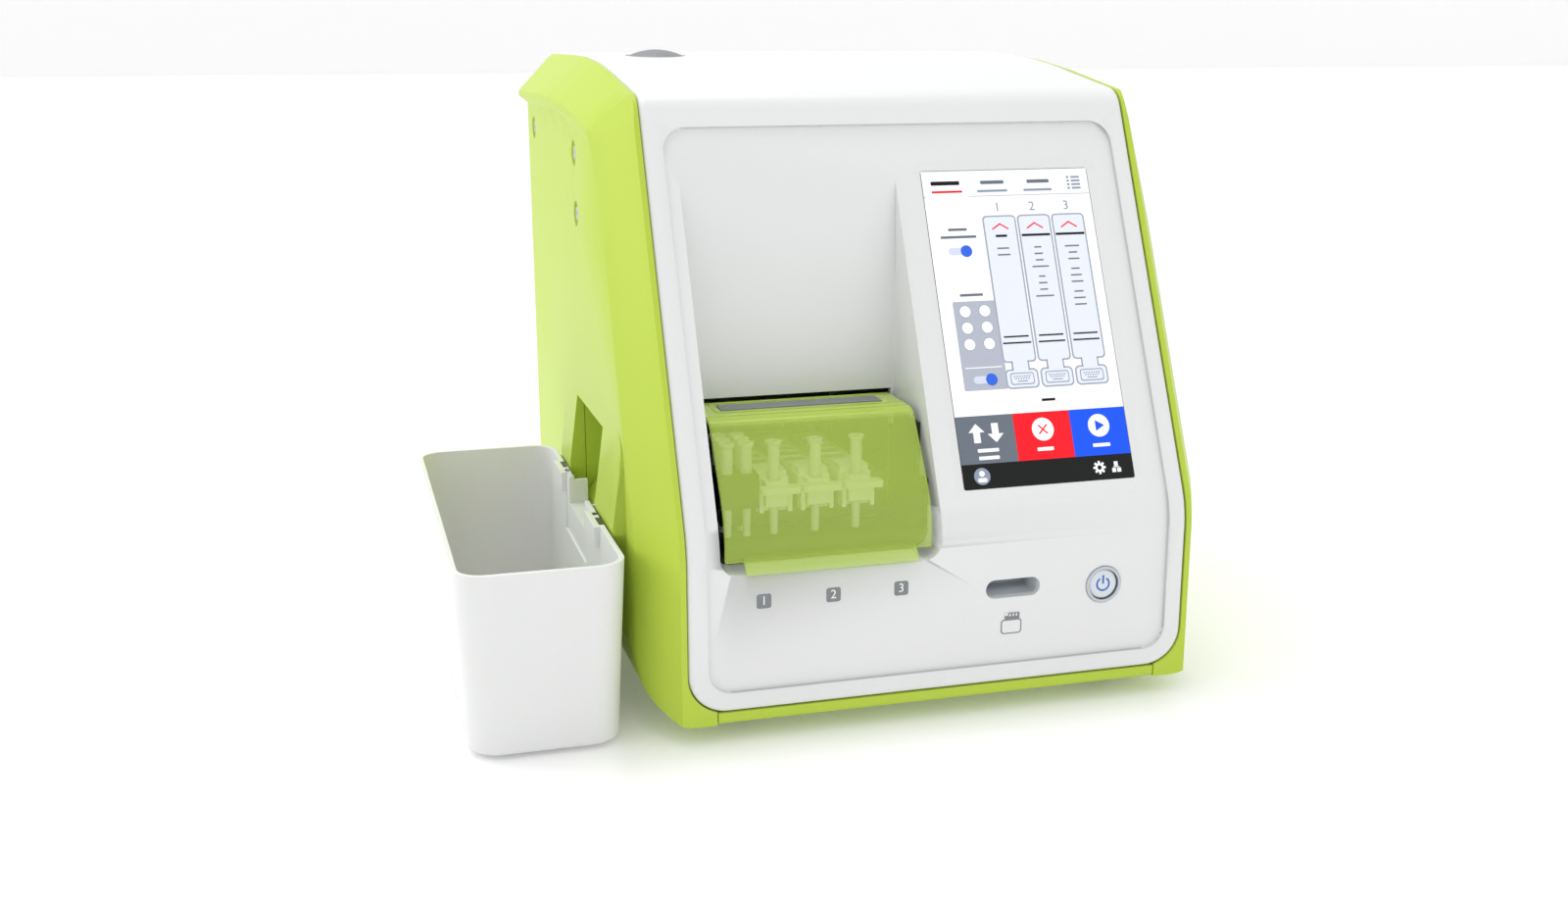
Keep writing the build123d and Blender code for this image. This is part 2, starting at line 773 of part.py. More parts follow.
with BuildPart() as door_cover:
    with BuildSketch(facing_right(door_left)):
        add(door_outline())
        offset(door_outline(), amount=-door_wall, mode=Mode.SUBTRACT)
        with Locations((hinge_y, door_low)):
            Rectangle(2 * (door_wall + 0.5), 2 * (door_top - door_low - door_wall), mode=Mode.SUBTRACT)
        with Locations(((door_front_low + hinge_y) / 2 + door_wall, door_low)):
            Rectangle(hinge_y - door_front_low, 2 * (door_wall + 0.5), mode=Mode.SUBTRACT)
    extrude(amount=door_width)
    with BuildSketch(facing_right(lip_left)):
        with BuildLine():
            Polyline(
                (door_front_low, door_low + 3),
                (door_front_low - lip_reach + 0.8, door_low - 1.5),
                (door_front_low - lip_reach, bay_floor + 1.2),
                (door_front_low - 4.5, bay_floor + 0.6),
                (door_front_low + door_wall, door_low),
                (door_front_low + door_wall, door_low + 3),
                close=True,
            )
        make_face()
        fillet(nearest(vertices(), door_front_low - lip_reach + 0.8, door_low - 1.5), 1)
    extrude(amount=lip_width)
    rod_x(door_left, door_left + door_width, hinge_y, hinge_height, 2 * door_knuckle)
    # raised border round the label, and the ridge along the front of the top
    with BuildSketch(level(door_top)):
        with Locations((bay_mid_x, label_y)):
            RectangleRounded(label_width + 7, label_length + 9, 4)
            RectangleRounded(label_width + 4.4, label_length + 6.4, 2.7, mode=Mode.SUBTRACT)
    extrude(amount=0.5)
    rod_x(door_left + 1, door_left + door_width - 1, hinge_y - 29.5, door_top - 0.1, 1.6)
    for side in (-1, 1):
        x = bay_mid_x + side * (door_width / 2 - 4.5)
        rod_x(x - 4.6, x + 4.6, hinge_y, hinge_height, door_pin_dia + 0.02, Mode.SUBTRACT)
write(door_cover, "door_cover")

with BuildPart() as door_label:
    block(
        bay_mid_x - label_width / 2, bay_mid_x + label_width / 2, label_y - label_length / 2,
        label_y + label_length / 2, door_top, door_top + label_thickness,
    )
write(door_label, "door_label")

with BuildPart() as door_pins:
    for side in (-1, 1):
        x = bay_mid_x + side * (bay_width / 2 + 1.3)
        inner = bay_mid_x + side * (door_width / 2 - 8.5)
        rod_x(min(x, inner), max(x, inner), hinge_y, hinge_height, door_pin_dia)
write(door_pins, "door_pins")

liner_wall = 1.6
liner_front = front_y + 21.0
with BuildPart() as chamber_liner:
    with BuildSketch(facing_front(liner_front)):
        with Locations((bay_mid_x, bay_floor + fit_gap + 100)):
            RectangleRounded(bay_width - 2 * fit_gap, 200, bay_corner - fit_gap)
            RectangleRounded(
                bay_width - 2 * fit_gap - 2 * liner_wall, 200 - 2 * liner_wall,
                bay_corner - fit_gap - liner_wall,
                mode=Mode.SUBTRACT,
            )
    extrude(amount=-(bay_back_y - fit_gap - liner_front))
    block(bay_left, bay_right, liner_front - 1, liner_front + 12, 110, 400, Mode.SUBTRACT)
    block(
        bay_left, bay_right, liner_front - 1, bay_back_y - 7, door_top - door_knuckle - 4, 400,
        Mode.SUBTRACT,
    )
    block(bay_left, bay_right, bay_back_y - 7.5, bay_back_y + 1, 125, 400, Mode.SUBTRACT)
write(chamber_liner, "chamber_liner")

# ---------------------------------------------------------------- cartridge holder
holder_x = bay_mid_x
tray_left = holder_x - holder_half
tray_right = holder_x + holder_half
rack_front = tip_y - 6.6
rack_rear = tip_y + 23.0
rack_top = 116.0
rack_places = [
    (rack_mid_x + (i - 0.5) * rack_pitch, tip_y + 9 + (j - 1) * rack_pitch)
    for i in range(2)
    for j in range(3)
]
slide_gap = 0.3
carriage_front = holder_rear - 33.0

with BuildPart() as holder_tray:
    block(tray_left + 12, tray_right, holder_front, holder_rear, holder_floor, lane_floor - 3)
    block(lane_places[0] - 11, lane_places[-1] + 11, holder_front, holder_rear, holder_floor, 104)
    for x in lane_places:
        half = cartridge_width / 2 + slide_gap
        block(x - half, x + half, holder_front - 1, holder_rear - 3, lane_floor, 105, Mode.SUBTRACT)
    block(rack_mid_x - 9.5, lane_places[0] - 8.6, rack_front, rack_rear, 100.5, rack_top)
    block(tray_left, tray_left + 13, holder_front, holder_rear, holder_floor, 100)
    for x, y in rack_places:
        post(x, y, 80, 120, tip_neck_dia + 0.6, Mode.SUBTRACT)
    block(
        holder_x - rail_spread - 1, holder_x + rail_spread + 1, carriage_front, holder_rear, holder_floor,
        holder_floor + 3,
    )
    for side in (-1, 1):
        x = holder_x + side * rail_spread
        block(x - 3.6, x + 3.6, carriage_front, holder_rear, holder_floor, rail_height + 3.6)
        rod_y(x, carriage_front - 1, holder_rear + 1, rail_height, bush_dia - 2, Mode.SUBTRACT)
write(holder_tray, "holder_tray")

bush_ends = [carriage_front - bush_length, holder_rear]
with BuildPart() as holder_bushes:
    for side in (-1, 1):
        for y in bush_ends:
            x = holder_x + side * rail_spread
            rod_y(x, y, y + bush_length, rail_height, bush_dia)
            rod_y(x, y - 1, y + bush_length + 1, rail_height, rail_dia + 2 * running_gap, Mode.SUBTRACT)
write(holder_bushes, "holder_bushes")

with BuildPart() as screw_nut:
    block(holder_x - 9, holder_x + 9, holder_rear - 25, holder_rear - 11, screw_height - 6, holder_floor)
    rod_y(
        holder_x, holder_rear - 26, holder_rear - 10, screw_height, screw_dia + 2 * running_gap,
        Mode.SUBTRACT,
    )
write(screw_nut, "screw_nut")

well_count = 5
well_pitch = 11.0
well_depth = 1.0              # the wells are sealed by foil
for number, lane_x in enumerate(lane_places, start=1):
    with BuildPart() as cartridge:
        left = lane_x - cartridge_width / 2
        right = lane_x + cartridge_width / 2
        block(left, right, cartridge_front + 8, cartridge_rear, lane_floor + slide_gap, cartridge_top)
        block(
            left + 0.8, right - 0.8, cartridge_front + 9, cartridge_front + 23, cartridge_top,
            cartridge_top + 3,
        )
        fillet(cartridge.edges().filter_by(Axis.Z).group_by(Axis.Y)[-1], 2)
        block(left + 2.6, right - 2.6, cartridge_front, cartridge_front + 9, lane_floor + 4, cartridge_top)
        # handle tab with its neck, and two guide lugs below
        block(lane_x - 4.5, lane_x + 4.5, cartridge_front - 5, cartridge_front + 1, 108, 111)
        with BuildSketch(level(108)):
            with Locations((lane_x, cartridge_front - handle_reach + handle_length / 2)):
                RectangleRounded(lane_pitch - 1.4, handle_length, 1.6)
        extrude(amount=3)
        for side in (-1, 1):
            x = lane_x + side * (cartridge_width / 2 - 1)
            block(x - 1, x + 1, cartridge_front + 2, cartridge_front + 9, 100, 108)
            block(x - 1, x + 1, cartridge_front + 2, cartridge_front + 6, 97, 101)
        post(lane_x, tip_y, 90, 120, tip_neck_dia + 0.5, Mode.SUBTRACT)
        for i in range(well_count):
            with BuildSketch(level(cartridge_top)):
                with Locations((lane_x, cartridge_front + 31 + i * well_pitch)):
                    RectangleRounded(cartridge_width - 4.4, well_pitch - 2.2, 2)
            extrude(amount=-well_depth, mode=Mode.SUBTRACT)
    write(cartridge, f"cartridge_{number}")


def pipette_tip(x, y):
    """One disposable tip: flange, straight neck, taper and a bore right through."""
    with BuildPart() as tip:
        with BuildSketch(Plane(origin=(mid_x + x, y, 0), x_dir=(1, 0, 0), z_dir=(0, -1, 0))):
            with BuildLine():
                Polyline(
                    (tip_bore / 2, tip_bottom),
                    (tip_end_dia / 2, tip_bottom),
                    (tip_neck_dia / 2, cartridge_top + 4),
                    (tip_neck_dia / 2, tip_top - 2.4),
                    (tip_flange_dia / 2, tip_top - 1.2),
                    (tip_flange_dia / 2, tip_top),
                    (tip_bore / 2 + 0.6, tip_top),
                    close=True,
                )
            make_face()
        revolve(axis=Axis((mid_x + x, y, 0), (0, 0, 1)))
    return tip.part


with BuildPart() as cartridge_tips:
    for x in lane_places:
        add(pipette_tip(x, tip_y))
write(cartridge_tips, "cartridge_tips")

with BuildPart() as spare_tips:
    for x, y in rack_places:
        add(pipette_tip(x, y))
write(spare_tips, "spare_tips")

# ---------------------------------------------------------------- holder drive
bracket_half = 56.0
bracket_thick = 4.0
motor_size = 28.0
motor_length = 34.0
journal_dia = 5.0

for name, y in (("rail_bracket_front", rail_front), ("rail_bracket_rear", rail_rear - bracket_thick)):
    with BuildPart() as bracket:
        block(holder_x - bracket_half, holder_x + bracket_half, y, y + bracket_thick, base_top, 84.5)
        for side in (-1, 1):
            x = holder_x + side * (rail_spread + 2.5)
            block(x - 6, x + 6, y, y + bracket_thick, 80, rail_height + 4.5)
            rod_y(holder_x + side * rail_spread, y - 1, y + 9, rail_height, rail_dia, Mode.SUBTRACT)
        rod_y(holder_x, y - 1, y + 9, screw_height, journal_dia + 2 * running_gap, Mode.SUBTRACT)
        block(holder_x - 40, holder_x + 40, y - 1, y + 9, base_top + 8, 60, Mode.SUBTRACT)
    write(bracket, name)

with BuildPart() as guide_rails:
    for side in (-1, 1):
        rod_y(holder_x + side * rail_spread, rail_front, rail_rear, rail_height, rail_dia)
write(guide_rails, "guide_rails")

with BuildPart() as lead_screw:
    rod_y(
        holder_x, rail_front + bracket_thick + 0.2, rail_rear - bracket_thick - 0.2, screw_height,
        screw_dia,
    )
    rod_y(holder_x, rail_front, rail_rear + 6, screw_height, journal_dia)
write(lead_screw, "lead_screw")

with BuildPart() as drive_motor:
    block(
        holder_x - motor_size / 2, holder_x + motor_size / 2, rail_rear, rail_rear + motor_length,
        screw_height - motor_size / 2, screw_height + motor_size / 2,
    )
    chamfer(drive_motor.edges().filter_by(Axis.Y), 3)
    rod_y(holder_x, rail_rear - 1, rail_rear + 7, screw_height, journal_dia + 2 * running_gap, Mode.SUBTRACT)
write(drive_motor, "drive_motor")

# ---------------------------------------------------------------- pipetting head over the inner position
gantry_front = 10.0
gantry_rear = 26.0
gantry_left = -109.0
gantry_right = 3.0
gantry_wall = 3.0
beam_high = top_height - 63.2
head_rod_dia = 6.0
head_rod_spread = 30.0
head_rod_y = 18.0
head_top = beam_high - 48.0
head_bottom = head_top - 16.0
beam_low = head_bottom - 26.0
optics_height = 40.0
shaft_dia = 5.0

with BuildPart() as head_gantry:
    for x in (gantry_left, gantry_right - gantry_wall):
        block(x, x + gantry_wall, gantry_front, gantry_rear, base_top, beam_high + 4)
    block(gantry_left, gantry_right, gantry_front, gantry_rear, beam_low, beam_low + gantry_wall)
    block(gantry_left, gantry_right, gantry_front, gantry_rear, beam_high, beam_high + 4)
    for side in (-1, 1):
        post(
            holder_x + side * head_rod_spread, head_rod_y, beam_low - 1, beam_high + 9, head_rod_dia,
            Mode.SUBTRACT,
        )
    post(holder_x, head_rod_y, beam_high - 1, beam_high + 9, shaft_dia + 1, Mode.SUBTRACT)
write(head_gantry, "head_gantry")

with BuildPart() as head_rods:
    for side in (-1, 1):
        post(holder_x + side * head_rod_spread, head_rod_y, beam_low, beam_high + 4, head_rod_dia)
write(head_rods, "head_rods")

nozzle_y = tip_y + holder_travel
with BuildPart() as pipette_head:
    block(holder_x - 38, holder_x + 38, nozzle_y - 6, head_rod_y + 6, head_bottom, head_top)
    block(holder_x - 20, holder_x + 20, nozzle_y - 6, nozzle_y + 24, head_top, head_top + 26)
    for side in (-1, 1):
        post(
            holder_x + side * head_rod_spread, head_rod_y, head_bottom - 1, head_top + 1,
            head_rod_dia + 2 * running_gap, Mode.SUBTRACT,
        )
    for x in lane_places:
        post(x, nozzle_y, head_bottom - 14, head_bottom, 4.4)
    post(holder_x, head_rod_y, head_top, beam_high + 38, shaft_dia)
write(pipette_head, "pipette_head")

with BuildPart() as head_actuator:
    block(
        holder_x - 14, holder_x + 14, head_rod_y - 14, head_rod_y + 14, beam_high + 4, beam_high + 28
    )
    chamfer(head_actuator.edges().filter_by(Axis.Z), 3)
    post(holder_x, head_rod_y, beam_high, beam_high + 40, shaft_dia + 2 * running_gap, Mode.SUBTRACT)
write(head_actuator, "head_actuator")

with BuildPart() as optics_head:
    block(
        holder_x - 32, holder_x + 32, gantry_rear, gantry_rear + 32, beam_low - optics_height / 2,
        beam_low + optics_height / 2,
    )
    for x in lane_places:
        post(
            x, gantry_rear + 16, beam_low - optics_height / 2 - 2, beam_low - optics_height / 2 + 4, 9,
            Mode.SUBTRACT,
        )
write(optics_head, "optics_head")

# ---------------------------------------------------------------- printer under the lid
latch_y = lid_front + latch_dia / 2 + 3
collar_dia = latch_dia + 3.2
platen_y = lid_front + 8
platen_z = top_height - 18
platen_dia = 8.0
platen_shaft = 3.0
lid_arm = 2.0
printer_floor = top_height - 53.2

with BuildPart() as printer_lid:
    with BuildSketch(facing_right(lid_left)):
        add(body_outline(panel_bottom))
        add(body_outline(panel_bottom, lid_wall), mode=Mode.SUBTRACT)
        with Locations(((lid_front + lid_pivot_y) / 2, top_height)):
            Rectangle(lid_pivot_y - lid_front, 40, mode=Mode.INTERSECT)
    extrude(amount=lid_width)
    rod_x(lid_left, lid_left + lid_width, lid_pivot_y, lid_pivot_z, 3.2)
    rod_x(lid_left - 1, lid_left + lid_width + 1, lid_pivot_y, lid_pivot_z, lid_pin_dia, Mode.SUBTRACT)
    post(lid_mid_x, latch_y, top_height - 30, top_height + 9, latch_dia + 0.6, Mode.SUBTRACT)
    # collar that carries the latch, and the two arms of the platen roller
    post(lid_mid_x, latch_y, top_height - 12, top_height - 8.2, collar_dia)
    post(lid_mid_x, latch_y, top_height - 13, top_height - 8, 8, Mode.SUBTRACT)
    with BuildSketch(level(top_height - 12)):
        with Locations((lid_mid_x, latch_y)):
            Circle(collar_dia / 2)
            Circle(latch_dia / 2 + 0.3, mode=Mode.SUBTRACT)
    extrude(amount=12 - lid_wall + 0.4)
    for x in (lid_left + 2, lid_left + lid_width - 2 - lid_arm):
        block(
            x, x + lid_arm, platen_y - platen_dia / 2, platen_y + platen_dia / 2, platen_z,
            top_height - lid_wall + 0.2,
        )
        rod_x(x, x + lid_arm, platen_y, platen_z, platen_dia)
        rod_x(x - 1, x + lid_arm + 1, platen_y, platen_z, platen_shaft + 2 * running_gap, Mode.SUBTRACT)
write(printer_lid, "printer_lid")

with BuildPart() as lid_pins:
    for x in (lid_left - 2.5, lid_left + lid_width - 8):
        rod_x(x, x + 10.5, lid_pivot_y, lid_pivot_z, lid_pin_dia)
write(lid_pins, "lid_pins")

latch_base = top_height - 8.2 + latch_travel + 0.3
latch_rim = top_height - 1.6
with BuildPart() as lid_latch:
    post(lid_mid_x, latch_y, latch_base, latch_rim + latch_dome, latch_dia)
    dome_radius = ((latch_dia / 2) ** 2 + latch_dome**2) / (2 * latch_dome)
    with Locations((mid_x + lid_mid_x, latch_y, latch_rim + latch_dome - dome_radius)):
        Sphere(dome_radius, mode=Mode.INTERSECT)
    post(lid_mid_x, latch_y, latch_base - 9, latch_base + 1, 7.2)
write(lid_latch, "lid_latch")

roll_y = 88.0
roll_z = printer_floor + 24.0
bucket_gap = 0.3
bucket_rear = lid_rear + fit_gap + 1.5
with BuildPart() as printer_body:
    block(
        lid_left + 0.5, lid_left + lid_width - 0.5, lid_front + 3, bucket_rear, printer_floor,
        top_height - 13,
    )
    block(
        lid_left + 0.5, lid_left + lid_width - 0.5, bucket_rear, bucket_rear + 4, printer_floor,
        top_height - skin - 0.3,
    )
    half = paper_width / 2 + 1
    rod_x(lid_mid_x - half, lid_mid_x + half, roll_y, roll_z, paper_dia + 2 * bucket_gap, Mode.SUBTRACT)
    block(
        lid_mid_x - half, lid_mid_x + half, roll_y - paper_dia / 2 - bucket_gap,
        roll_y + paper_dia / 2 + bucket_gap,
        roll_z, top_height, Mode.SUBTRACT,
    )
    block(
        lid_left, lid_left + lid_width, lid_front, platen_y + platen_dia / 2 + 2,
        platen_z - platen_dia / 2 - 0.5,
        top_height, Mode.SUBTRACT,
    )
    block(
        lid_mid_x - 24, lid_mid_x + 24, platen_y + platen_dia / 2 + 1, roll_y, top_height - 26, top_height,
        Mode.SUBTRACT,
    )
write(printer_body, "printer_body")

with BuildPart() as platen_roller:
    rod_x(lid_left + 2.3 + lid_arm, lid_left + lid_width - 2.3 - lid_arm, platen_y, platen_z, platen_dia)
    rod_x(lid_left + 2, lid_left + lid_width - 2, platen_y, platen_z, platen_shaft)
write(platen_roller, "platen_roller")

with BuildPart() as paper_roll:
    rod_x(lid_mid_x - paper_width / 2, lid_mid_x + paper_width / 2, roll_y, roll_z, paper_dia)
    rod_x(lid_mid_x - 50, lid_mid_x + 50, roll_y, roll_z, 12, Mode.SUBTRACT)
write(paper_roll, "paper_roll")

# ---------------------------------------------------------------- chute and waste bin
cover_inside = -(side_x - cover_wall)
liner_right = holder_x - bracket_half - 0.9
chute_wall = 1.6
ramp_low = 74.0
ramp_high = 104.0
notch_front = -58.0
notch_rear = -30.0

with BuildPart() as chute_liner:
    block(
        cover_inside + 0.3, liner_right, chute_front - chute_wall, chute_rear + chute_wall,
        chute_bottom - chute_wall, chute_top + chute_wall,
    )
    block(
        cover_inside - 1, liner_right - chute_wall, chute_front, chute_rear, chute_bottom, chute_top,
        Mode.SUBTRACT
    )
    with BuildSketch(facing_front(chute_front)):
        with BuildLine():
            Polyline(
                (liner_right - chute_wall, chute_bottom),
                (liner_right - chute_wall, ramp_high),
                (cover_inside + 0.3, ramp_low),
                (cover_inside + 0.3, chute_bottom),
                close=True,
            )
        make_face()
    extrude(amount=-(chute_rear - chute_front))
    block(
        liner_right - 3, liner_right + 1, notch_front, notch_rear, ramp_high + 1, chute_top - 3,
        Mode.SUBTRACT,
    )
write(chute_liner, "chute_liner")

bin_mid_x = (bin_left + bin_right) / 2
bin_mid_y = bin_front_y + bin_length / 2
pad_reach = 5.5
pad_drop = 10.0
magnet_inset = 0.3


def bin_section(z, grow):
    """Rounded outline of the bin at a height, moved out or in by grow."""
    lean = bin_taper * (bin_rim - z) / (bin_rim - bin_bottom)
    with BuildSketch() as section:
        with Locations((bin_mid_x, bin_mid_y)):
            RectangleRounded(
                bin_width + 2 * (grow - lean), bin_length + 2 * (grow - lean), bin_corner + grow
            )
    return section.sketch


def magnet_spans():
    """Front and rear ends of the four magnets: a long one and, towards the window, a short one."""
    window_mid = (window_front + window_rear) / 2
    for y in magnet_places:
        yield y - magnet_length / 2, y + magnet_length / 2
        toward = 1 if y < window_mid else -1
        middle_y = y + toward * (magnet_length / 2 + 4 + small_magnet_length / 2)
        yield middle_y - small_magnet_length / 2, middle_y + small_magnet_length / 2


with BuildPart() as waste_bin:
    with BuildSketch(level(bin_bottom)):
        add(bin_section(bin_bottom, 0))
    with BuildSketch(level(bin_rim)):
        add(bin_section(bin_rim, 0))
    loft(ruled=True)
    fillet(waste_bin.edges().group_by(Axis.Z)[0], 3)
    with BuildSketch(level(bin_bottom + bin_wall)):
        add(bin_section(bin_bottom + bin_wall, -bin_wall))
    with BuildSketch(level(bin_rim + 1)):
        add(bin_section(bin_rim, -bin_wall))
    loft(ruled=True, mode=Mode.SUBTRACT)
    # pads that carry the magnets, and the window with its sill and cheeks
    for y in magnet_places:
        toward = 1 if y < bin_mid_y else -1
        middle_y = y + toward * (small_magnet_length + 4) / 2
        half = magnet_length / 2 + small_magnet_length / 2 + 5
        block(
            bin_right - pad_reach, bin_right - 0.3, middle_y - half, middle_y + half, bin_rim - pad_drop,
            bin_rim
        )
    block(
        bin_right - 9, bin_right + flange_reach, window_front - bin_wall, window_rear + bin_wall,
        bin_rim - window_depth, bin_rim - 2,
    )
    block(
        bin_right - 20, bin_right + flange_reach + 1, window_front, window_rear,
        bin_rim - window_depth + bin_wall,
        bin_rim + 1, Mode.SUBTRACT,
    )
    block(
        bin_right - 20, bin_right - bin_wall - 0.3, window_front - 9, window_rear + 9, bin_rim - 30,
        bin_rim + 1,
        Mode.SUBTRACT,
    )
    for y0, y1 in magnet_spans():
        block(
            bin_right - magnet_inset - magnet_thickness - 0.1, bin_right - magnet_inset + 0.1, y0 - 0.1,
            y1 + 0.1,
            bin_rim - magnet_height, bin_rim + 1, Mode.SUBTRACT,
        )
write(waste_bin, "waste_bin")

with BuildPart() as bin_magnets:
    for y0, y1 in magnet_spans():
        block(
            bin_right - magnet_inset - magnet_thickness, bin_right - magnet_inset, y0, y1,
            bin_rim - magnet_height,
            bin_rim - 0.4,
        )
write(bin_magnets, "bin_magnets")

with BuildPart() as keeper_plates:
    for y in magnet_places:
        block(
            cover_inside, cover_inside + 2, y - magnet_length / 2, y + magnet_length / 2,
            bin_rim - magnet_height - 2,
            bin_rim,
        )
write(keeper_plates, "keeper_plates")

# ---------------------------------------------------------------- electrics
board_left = 10.0
board_right = 100.0
board_front = -120.0
board_rear = 30.0
board_under = base_top + 6
board_thickness = 1.6

with BuildPart() as main_board:
    block(board_left, board_right, board_front, board_rear, board_under, board_under + board_thickness)
    block(40, 62, -70, -48, board_under + 1.5, board_under + 4)
    block(72, 92, -100, -60, board_under + 1.5, board_under + 9)
    block(16, 30, -110, -20, board_under + 1.5, board_under + 10)
    block(50, 90, 0, 24, board_under + 1.5, board_under + 12)
write(main_board, "main_board")

with BuildPart() as power_supply:
    block(34, 104, rear_plane - 110, rear_plane - 30, base_top, base_top + 40)
    chamfer(power_supply.edges().filter_by(Axis.Y).group_by(Axis.Z)[-1], 2)
write(power_supply, "power_supply")

panel_back = rear_plane + rear_wall
fan_hub_dia = 24.0
fan_shaft_dia = 3.0
fan_blades = 7
fan_front = rear_plane - fan_depth

with BuildPart() as fan_frame:
    block(
        fan_x - fan_size / 2, fan_x + fan_size / 2, fan_front, rear_plane, fan_z - fan_size / 2,
        fan_z + fan_size / 2,
    )
    fillet(fan_frame.edges().filter_by(Axis.Y), 4)
    rod_y(fan_x, fan_front - 1, rear_plane + 1, fan_z, fan_bore, Mode.SUBTRACT)
    rod_y(fan_x, fan_front, fan_front + 2, fan_z, fan_hub_dia + 2)
    rod_y(fan_x, fan_front, rear_plane - 3, fan_z, fan_shaft_dia)
    with BuildSketch(facing_front(fan_front)):
        with Locations((fan_x, fan_z)):
            for turn in (30, 90, 150):
                Rectangle(fan_bore + 1, 2.4, rotation=turn)
    extrude(amount=-2)
    for i in (-1, 1):
        for j in (-1, 1):
            x = fan_x + i * fan_hole_pitch / 2
            z = fan_z + j * fan_hole_pitch / 2
            rod_y(x, fan_front - 1, rear_plane + 1, z, screw_shank, Mode.SUBTRACT)
write(fan_frame, "fan_frame")

with BuildPart() as fan_rotor:
    rod_y(fan_x, fan_front + 2.5, rear_plane - 2, fan_z, fan_hub_dia)
    blade_mid = (fan_hub_dia + fan_bore - 3) / 4
    for i in range(fan_blades):
        turn = 360 / fan_blades * i
        place = Location((mid_x + fan_x, fan_front + 8, fan_z), (0, turn, 0))
        with Locations(place * Location((blade_mid, 0, 0), (35, 0, 0))):
            Box((fan_bore - 3 - fan_hub_dia) / 2 + 1.5, 1.4, 13)
    rod_y(fan_x, fan_front, rear_plane + 1, fan_z, fan_shaft_dia + 2 * running_gap, Mode.SUBTRACT)
write(fan_rotor, "fan_rotor")

with BuildPart() as fan_screws:
    for i in (-1, 1):
        for j in (-1, 1):
            x = fan_x + i * fan_hole_pitch / 2
            z = fan_z + j * fan_hole_pitch / 2
            rod_y(x, panel_back, panel_back + screw_head, z, screw_head_dia)
            rod_y(x, fan_front + 5, panel_back, z, screw_shank)
write(fan_screws, "fan_screws")

with BuildPart() as power_inlet:
    block(
        inlet_x - inlet_width / 2, inlet_x + inlet_width / 2, rear_plane - 14, panel_back,
        inlet_z - inlet_tall / 2, inlet_z + inlet_tall / 2,
    )
    block(
        inlet_x - inlet_width / 2 - 3, inlet_x + inlet_width / 2 + 3, panel_back, panel_back + 1.6,
        inlet_z - inlet_tall / 2 - 3, inlet_z + inlet_tall / 2 + 3,
    )
    block(
        inlet_x - 11.5, inlet_x + 11.5, rear_plane - 11, panel_back + 2, inlet_z - 7.5, inlet_z + 7.5,
        Mode.SUBTRACT,
    )
    for x, z in ((-7, -2), (0, 2), (7, -2)):
        block(
            inlet_x + x - 1, inlet_x + x + 1, rear_plane - 12, panel_back - 2, inlet_z + z - 2,
            inlet_z + z + 2,
        )
write(power_inlet, "power_inlet")

rocker_y = panel_back - 1.5
with BuildPart() as switch_housing:
    block(
        inlet_x - switch_width / 2, inlet_x + switch_width / 2, rear_plane - 12, panel_back,
        switch_z - switch_tall / 2, switch_z + switch_tall / 2,
    )
    block(
        inlet_x - switch_width / 2 - 1.5, inlet_x + switch_width / 2 + 1.5, panel_back, panel_back + 1.2,
        switch_z - switch_tall / 2 - 1.5, switch_z + switch_tall / 2 + 1.5,
    )
    block(
        inlet_x - 8.5, inlet_x + 8.5, rear_plane - 10, panel_back + 2, switch_z - 5.2, switch_z + 5.2,
        Mode.SUBTRACT,
    )
    rod_x(inlet_x - 9.2, inlet_x + 9.2, rocker_y, switch_z, 2 + 2 * running_gap, Mode.SUBTRACT)
write(switch_housing, "switch_housing")

with BuildPart() as rocker_switch:
    with BuildSketch(facing_right(inlet_x - 8.2)):
        with BuildLine():
            Polyline(
                (rocker_y - 3, switch_z - 3.4),
                (rocker_y - 3, switch_z + 3.4),
                (rocker_y + 3.4, switch_z + 4.5),
                (rocker_y + 2.2, switch_z),
                (rocker_y + 3.4, switch_z - 4.5),
                close=True,
            )
        make_face()
    extrude(amount=16.4)
    rod_x(inlet_x - 9.1, inlet_x + 9.1, rocker_y, switch_z, 2)
write(rocker_switch, "rocker_switch")

with BuildPart() as port_block:
    block(
        port_x - port_width / 2, port_x + port_width / 2, rear_plane - 14, panel_back,
        port_z - port_tall / 2, port_z + port_tall / 2,
    )
    for x, width, tall in ((-15, 8, 12), (-2, 13.2, 5.4), (14, 15.8, 13)):
        block(
            port_x + x - width / 2, port_x + x + width / 2, rear_plane - 10, panel_back + 1,
            port_z - tall / 2,
            port_z + tall / 2, Mode.SUBTRACT,
        )
write(port_block, "port_block")
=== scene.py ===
"""Looks of a bench-top rapid test reader: lime covers, white front, lit touch display, lift-up cover, hung bin."""
import json
from math import cos, pi, radians, sin

import bmesh
import bpy
from bpy.props import FloatProperty, FloatVectorProperty, IntProperty, PointerProperty
from mathutils import Euler, Matrix, Vector


